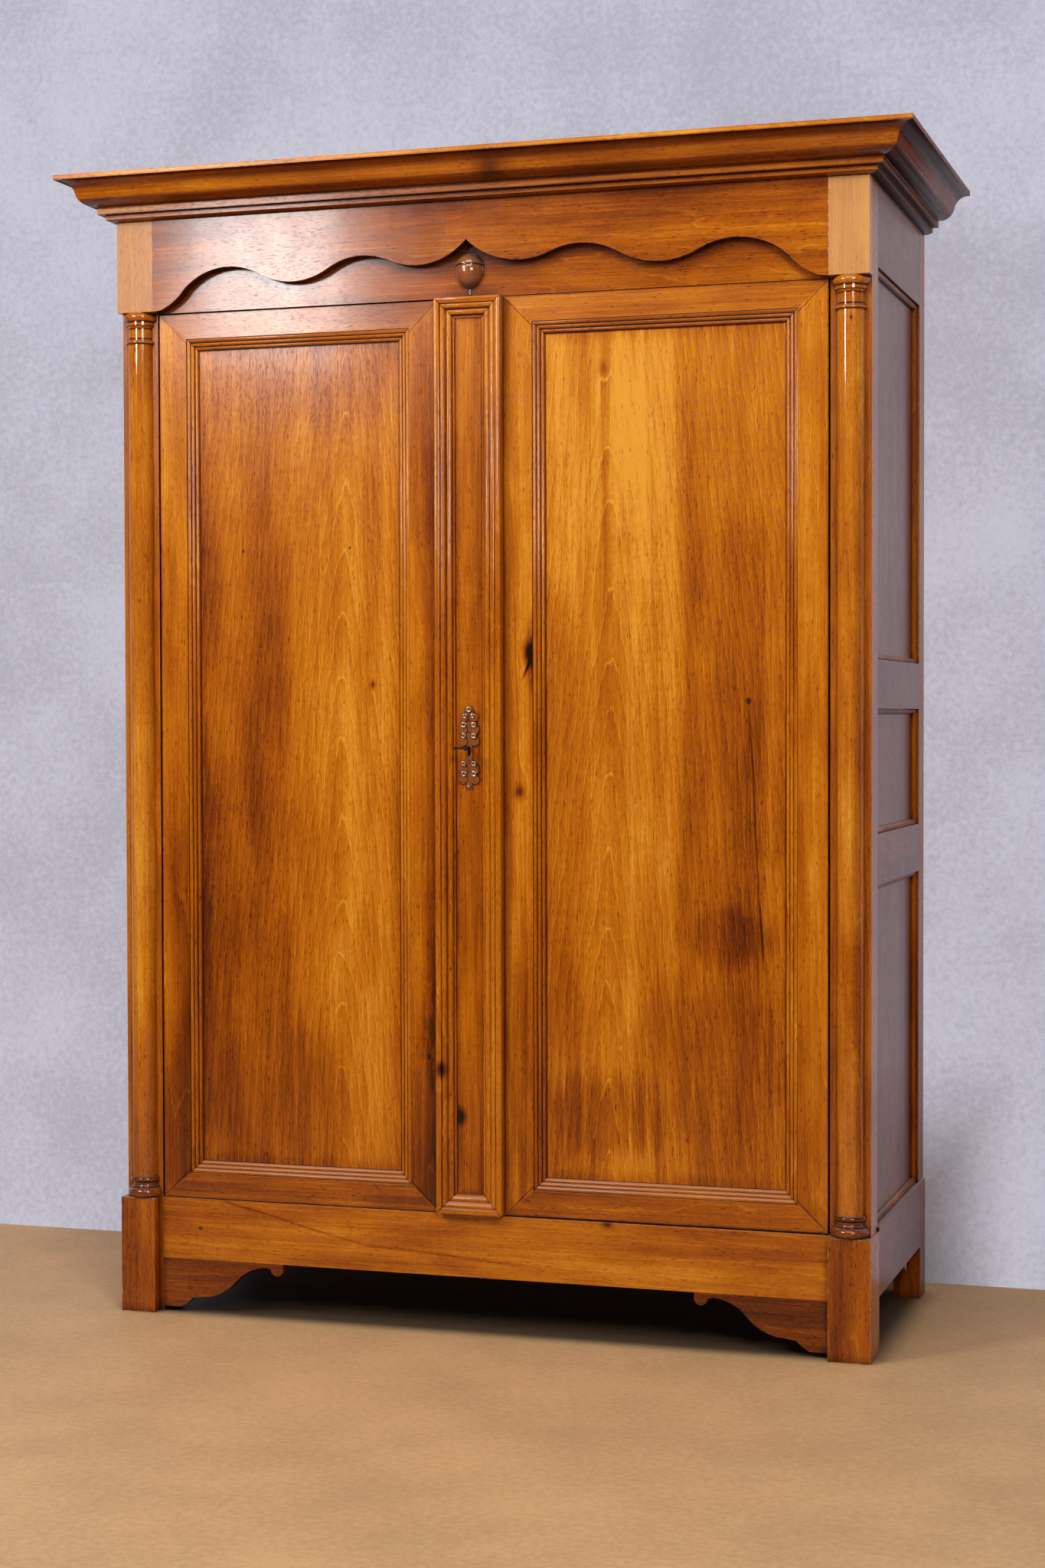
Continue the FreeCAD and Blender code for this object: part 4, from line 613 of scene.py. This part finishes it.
# the bottom rail's pale tone makes up for the weaker light near the floor: painted light
finished(walnut("walnut_bottom_rail", "x", 18.0, 0.85, contrast=1.2,
                veins=[(0.224, -0.54, 0.157, -0.24, 0.002, 0.22), (0.157, -0.24, 0.136, 0.08, 0.003, 0.20)],
                pits=[(0.169, -0.591, 0.004)], knots=[(0.224, 0.247, 0.006, 0.5)],
                rubbed=(-1.0, 1.0, -1.0, foot[1].z, 1.6 * MM)), "front_bottom_rail")
finished(walnut("walnut_brackets", "x", 19.0, 0.55), "bracket_left", "bracket_right")
finished(walnut("walnut_cornice", "x", 20.0, 0.66, contrast=1.1, knots=[(2.203, 0.045, 0.018, 0.35)],
                level_shade_lines=CORNICE_LINES), "cornice_front")
finished(walnut("walnut_cornice_ends", "y", 21.0, 0.42, gloss=0.34, relief=0.02, contrast=0.3, shine=0.07),
         "cornice_left", "cornice_right")
finished(walnut("walnut_side_rails", "y", 22.0, 0.41, gloss=0.26, **SIDE), *SIDE_RAILS)
finished(walnut("walnut_side_panels", "side", 23.0, 0.41, gloss=0.24, **SIDE),
         "side_left_panels", "side_right_panels")
finished(plain_wood("back_boards", "z", 1.0), "back_panels")
finished(plain_wood("back_rails", "x", 2.0, uprights=MUNTINS), "back_frame")
finished(plain_wood("level_boards", "level", 3.0), "floor_panel", "top_panel", "shelf")
finished(plain_wood("inner_pieces", "x", 4.0), "inner_cleats", "hanging_rail", "rail_sockets")
bronze = old_metal("aged_bronze", (0.38, 0.105, 0.012), (0.10, 0.014, 0.002), 0.6, 0.36, bare=0.40)
rubbed_bronze = old_metal("rubbed_bronze", (0.98, 0.76, 0.56), (0.50, 0.20, 0.06), 0.3, 0.10)
iron = old_metal("old_iron", (0.075, 0.06, 0.05), (0.03, 0.02, 0.015), 0.8, 0.34)
finished(bronze, "escutcheon")
finished(iron, "left_door_pivots", "right_door_pivots", "lock_case", "lock_bolt", "lock_keeper", "key",
         "upper_slide_bolt", "lower_slide_bolt", "slide_bolt_plates")


# Arrises rounded by wear

SHARP = 50
bare_arris = worn_walnut("walnut_bare_arris", 0.55, 0.8)
rubbed_arris = worn_walnut("walnut_rubbed_arris", 0.70, 0.25, gloss=0.26)
dull_arris = worn_walnut("walnut_dull_arris", 0.34, 0.3)


def wear_arrises(arris, width, *nodes):
    """Rounds the sharp edges of boards a little, and gives the rounding its own finish."""
    for node in nodes:
        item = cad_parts[node]
        item.data.materials.append(arris)
        weld = item.modifiers.new("welded", "WELD")
        weld.merge_threshold = 0.01 * MM
        round_over = item.modifiers.new("worn arrises", "BEVEL")
        round_over.width = width
        round_over.segments = 2
        round_over.limit_method = "ANGLE"
        round_over.angle_limit = math.radians(SHARP)
        round_over.harden_normals = True
        round_over.material = 1


wear_arrises(bare_arris, 0.9 * MM, "foot_block_left", "foot_block_right", "frieze_block_left",
             "frieze_block_right", "front_bottom_rail", "frieze_board", "bracket_left", "bracket_right")
wear_arrises(rubbed_arris, 0.5 * MM, "left_door_stiles", "left_door_rails", "right_door_stiles",
             "right_door_rails", "frieze_rail", "batten_moulding", "left_door_moulding",
             "right_door_moulding", "post_front_left", "post_front_right", "cornice_front")
wear_arrises(dull_arris, 0.7 * MM, "post_rear_left", "post_rear_right", "cornice_left", "cornice_right",
             *SIDE_RAILS)


# Pieces of the scene's own, shaped in edit mode

def begin(adder, stretch=(1, 1, 1), **settings):
    """Adds a primitive to an empty selection, and opens it in edit mode."""
    bpy.ops.object.select_all(action="DESELECT")
    adder(**settings)
    bpy.context.object.scale = stretch
    bpy.ops.object.transform_apply(location=True, rotation=True, scale=True)
    bpy.ops.object.mode_set(mode="EDIT")
    return bpy.context.object


def choose(item, test, kind="FACE"):
    """Selects the faces or edges that pass the test, and nothing else."""
    bpy.ops.mesh.select_mode(type=kind)
    bpy.ops.mesh.select_all(action="DESELECT")
    mesh = bmesh.from_edit_mesh(item.data)
    for part in {"FACE": mesh.faces, "EDGE": mesh.edges}[kind]:
        part.select_set(test(part))
    mesh.select_flush_mode()
    bmesh.update_edit_mesh(item.data)


def close_up(item, smooth):
    """Turns all faces outwards, leaves edit mode, and smooths edges flatter than an angle."""
    bpy.ops.mesh.select_all(action="SELECT")
    bpy.ops.mesh.remove_doubles(threshold=0.001 * MM)
    bpy.ops.mesh.normals_make_consistent(inside=False)
    bpy.ops.object.mode_set(mode="OBJECT")
    bpy.ops.object.shade_smooth_by_angle(angle=math.radians(smooth))


def fit(item, name, body, material):
    """Names a finished piece, gives it its finish and sets it on its body."""
    item.name = name
    item.data.name = name
    item.data.materials.clear()
    item.data.materials.append(material)
    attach(item, body)


def join(items):
    bpy.ops.object.select_all(action="DESELECT")
    for item in items:
        item.select_set(True)
    bpy.context.view_layer.objects.active = items[0]
    bpy.ops.object.join()
    return items[0]


def middle(edge):
    return (edge.verts[0].co + edge.verts[1].co) / 2


# Edgings of the side panels

EDGING_WIDTH = 9 * MM
EDGING_HEIGHT = 9 * MM
EDGING_ROUND = 8 * MM
QUIRK = 1.5 * MM
# foot and head of the two middle rails, which the frame gives only together
LOWER_RAIL = (0.869, 0.964)
UPPER_RAIL = (1.196, 1.287)
side_edge = walnut("walnut_side_edging", "side", 24.0, 0.60, gloss=0.35, relief=0.05, shine=0.12, crevice_dirt_and_shade=0.8)


def edging(face_x, outward, opening):
    """A mitred frame of strips lying against an upright side panel."""
    rear, front, foot_level, head_level = opening
    deep = abs(front - rear)
    high = head_level - foot_level
    item = begin(bpy.ops.mesh.primitive_plane_add, (high, deep, 1.0), size=1.0,
                 location=(face_x, (rear + front) / 2, (foot_level + head_level) / 2),
                 rotation=(0, outward * math.pi / 2, 0))
    bpy.ops.mesh.inset(thickness=EDGING_WIDTH)
    bpy.ops.mesh.delete(type="FACE")
    bpy.ops.mesh.select_all(action="SELECT")
    bpy.ops.mesh.extrude_region_move(TRANSFORM_OT_translate={"value": (outward * EDGING_HEIGHT, 0, 0)})
    half_deep = deep / 2 - EDGING_WIDTH
    half_high = high / 2 - EDGING_WIDTH
    centre = Vector((face_x + outward * EDGING_HEIGHT, (rear + front) / 2, (foot_level + head_level) / 2))

    def on_inner_edge(edge):
        far = middle(edge) - centre
        within = abs(far.y) < half_deep + 0.1 * MM and abs(far.z) < half_high + 0.1 * MM
        return within and max(abs(point.co.x - centre.x) for point in edge.verts) < 0.01 * MM

    choose(item, on_inner_edge, "EDGE")
    bpy.ops.mesh.bevel(offset=EDGING_ROUND, segments=6, profile=0.5)
    close_up(item, 40)
    return item


for side, outward in (("left", -1), ("right", 1)):
    panel_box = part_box(f"side_{side}_panels")
    panel_face = panel_box[1].x if outward > 0 else panel_box[0].x
    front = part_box(f"post_front_{side}")[1].y
    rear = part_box(f"post_rear_{side}")[0].y
    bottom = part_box(f"side_{side}_bottom_rail")[1].z
    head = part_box(f"side_{side}_top_rail")[0].z
    for name, foot_level, head_level in (("lower", bottom, LOWER_RAIL[0]),
                                         ("middle", LOWER_RAIL[1], UPPER_RAIL[0]),
                                         ("upper", UPPER_RAIL[1], head)):
        opening = (rear - QUIRK, front + QUIRK, foot_level + QUIRK, head_level - QUIRK)
        fit(edging(panel_face, outward, opening), f"{side}_{name}_panel_edging", "carcase",
            side_edge)


# Knobs of the keyhole plate, each a domed ring with a hollow eye

KNOB_HEIGHT = 3.4 * MM
# the single knobs at head and tail, as height over the floor, radius and height of the knob
HEAD_KNOB = (1.1965, 5.6 * MM, KNOB_HEIGHT)
TAIL_KNOB = (1.052, 3.6 * MM, 2.6 * MM)
# the pairs, as height over the floor, distance from the middle and radius
KNOB_PAIRS = ((1.184, 8.0 * MM, 4.6 * MM), (1.167, 10.08 * MM, 5.6 * MM), (1.146, 9.92 * MM, 5.2 * MM),
              (1.093, 9.92 * MM, 5.0 * MM), (1.074, 10.08 * MM, 5.6 * MM))


def knob(x, z, radius, height, face_y):
    item = begin(bpy.ops.mesh.primitive_cylinder_add, vertices=24, radius=radius, depth=height,
                 location=(x, face_y - height / 2, z), rotation=(math.pi / 2, 0, 0))
    choose(item, lambda face: face.normal.y < -0.9)
    bpy.ops.mesh.inset(thickness=0.42 * radius)
    bpy.ops.mesh.extrude_region_move(TRANSFORM_OT_translate={"value": (0, 0.55 * height, 0)})
    bpy.ops.transform.resize(value=(0.7, 1.0, 0.7))
    choose(item, lambda edge: middle(edge).y < face_y - 0.9 * height, "EDGE")
    bpy.ops.mesh.bevel(offset=0.17 * radius, segments=4, profile=0.5)
    close_up(item, 60)
    return item


plate_low, plate_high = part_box("escutcheon")
plate_x = (plate_low.x + plate_high.x) / 2
plate_face = plate_low.y + 0.4 * MM
knobs = [knob(plate_x, *HEAD_KNOB, plate_face)]
for level, aside, radius in KNOB_PAIRS:
    for turn in (-1, 1):
        knobs.append(knob(plate_x + turn * aside, level, radius, KNOB_HEIGHT, plate_face))
knobs.append(knob(plate_x, *TAIL_KNOB, plate_face))
fit(join(knobs), "keyhole_plate_knobs", "right_door", rubbed_bronze)


# Floor, wall and lamps

WALL_GAP = 90 * MM
WALL_GLOW = 0.85
SHADE = 0.76
# the painted shade on the floor close to the feet, and the painted shadow under the wardrobe
FLOOR_CONTACT_SHADE = (0.03, 0.02, 0.012)
SHADOW_UNDER_WARDROBE = (0.02, 0.012, 0.008)
LAMP_WHITE = (1.0, 0.99, 0.97)
SKY = (0.75, 0.78, 0.86, 1)
SKY_LEVEL = 0.12


def mottled(finish, colour):
    """A plain colour with soft patches of a deeper one."""
    clouds = finish.noise(finish.place, 3.0, 5.0, 0.6)
    grit = finish.noise(finish.place, 75.0, 3.0, 0.7)
    mottle = (clouds * 0.5 + grit * 0.5).rise(0.35, 0.65)
    return finish.blend(mottle, colour, tuple(SHADE * part for part in colour))


def floor_colour(name, colour, roughness):
    """Painted shade close to the feet, and a painted shadow under the wardrobe."""
    finish = Finish(name)
    shade = finish.blend(finish.open_sky(0.35).rise(0.42, 0.12) * 0.85, mottled(finish, colour), FLOOR_CONTACT_SHADE)
    # the painted shadow under the wardrobe's footprint
    beneath = abs(finish.x).rise(0.80, 0.72) * finish.y.between(-0.255, 0.36, 0.035)
    finish.set(Base_Color=finish.blend(beneath * 0.9, shade, SHADOW_UNDER_WARDROBE), Roughness=roughness)
    return finish.material


def wall_colour(name, colour, roughness):
    """Clear from behind, with an even brightness of its own for the camera and for mirrors; low behind the
    wardrobe it has no glow, which paints a shadow there.
    """
    finish = Finish(name)
    shade = mottled(finish, colour)
    finish.set(Base_Color=shade, Roughness=roughness)
    seen = finish.add("ShaderNodeLightPath", output="Is Camera Ray")
    mirrored = seen.sibling("Is Glossy Ray")
    glow = finish.add("ShaderNodeEmission", values={"Color": shade, "Strength": 1.0})
    # no glow low behind the wardrobe: a painted shadow there
    clear_of_feet = abs(finish.x).rise(0.72, 0.95).larger(finish.z.rise(0.15, 0.5))
    plaster = Wire(finish, finish.shader.outputs[0])
    lit = finish.add("ShaderNodeMixShader", values={
        0: seen.larger(mirrored) * clear_of_feet * WALL_GLOW, 1: plaster, 2: glow})
    away = finish.add("ShaderNodeNewGeometry", output="Backfacing")
    clear = finish.add("ShaderNodeBsdfTransparent")
    output = finish.tree.nodes["Material Output"]
    surface = finish.add("ShaderNodeMixShader", values={0: away, 1: lit, 2: clear})
    finish.fill(output.inputs["Surface"], surface)
    return finish.material


def plane(name, size, place, turn, material):
    bpy.ops.object.select_all(action="DESELECT")
    bpy.ops.mesh.primitive_plane_add(size=1.0, location=place, rotation=turn)
    item = bpy.context.object
    item.name = name
    item.scale = (size[0], size[1], 1.0)
    bpy.ops.object.transform_apply(location=True, rotation=True, scale=True)
    item.data.materials.append(material)
    return item


def lamp(name, place, target, size, power, colour=(1, 1, 1), spare=None):
    """A rectangular lamp turned to its target; it leaves what spare holds unlit."""
    data = bpy.data.lights.new(name, "AREA")
    data.shape = "RECTANGLE"
    data.size, data.size_y = size
    data.energy = power
    data.color = colour
    item = bpy.data.objects.new(name, data)
    bpy.context.scene.collection.objects.link(item)
    item.visible_camera = False
    if spare:
        item.light_linking.receiver_collection = spare
    item.matrix_world = Matrix.Translation(place) @ (
        (Vector(target) - Vector(place)).to_track_quat("-Z", "Y").to_matrix().to_4x4())


floor = plane("floor", (14, 14), (0, -2, 0), (0, 0, 0), floor_colour("pale_floor", (0.78, 0.47, 0.225), 0.6))
wall = plane("wall", (14, 6), (0, cad_box[1].y + WALL_GAP, 3), (math.radians(90), 0, 0),
             wall_colour("pale_wall", (0.60, 0.585, 0.68), 0.8))
wall.visible_shadow = False
room = bpy.data.collections.new("room")
for surface in (floor, wall):
    room.objects.link(surface)
for member in room.collection_objects:
    member.light_linking.link_state = "EXCLUDE"

lamp("window", (-1.46, -2.67, 2.46), (-0.2, -0.2, 1.6), (0.42, 0.5), 16.0)
lamp("right_lamp", (2.4, -4.3, 3.2), (0.1, 0, 1.3), (1.3, 1.1), 85.0, LAMP_WHITE)
lamp("left_lamp", (-2.6, -3.4, 3.9), (0, 0, 1.4), (1.6, 1.4), 75.0, LAMP_WHITE)
lamp("ceiling", (0.3, -2.6, 4.4), (0, 0, 1.1), (2.4, 1.4), 45.0)
lamp("rear_lamp", (0.5, 4.6, 2.6), (0, 0.3, 1.2), (2.2, 2.0), 90.0, LAMP_WHITE, spare=room)
world = bpy.data.worlds.new("studio")
world.use_nodes = True
world.node_tree.nodes["Background"].inputs["Color"].default_value = SKY
world.node_tree.nodes["Background"].inputs["Strength"].default_value = SKY_LEVEL
bpy.context.scene.world = world
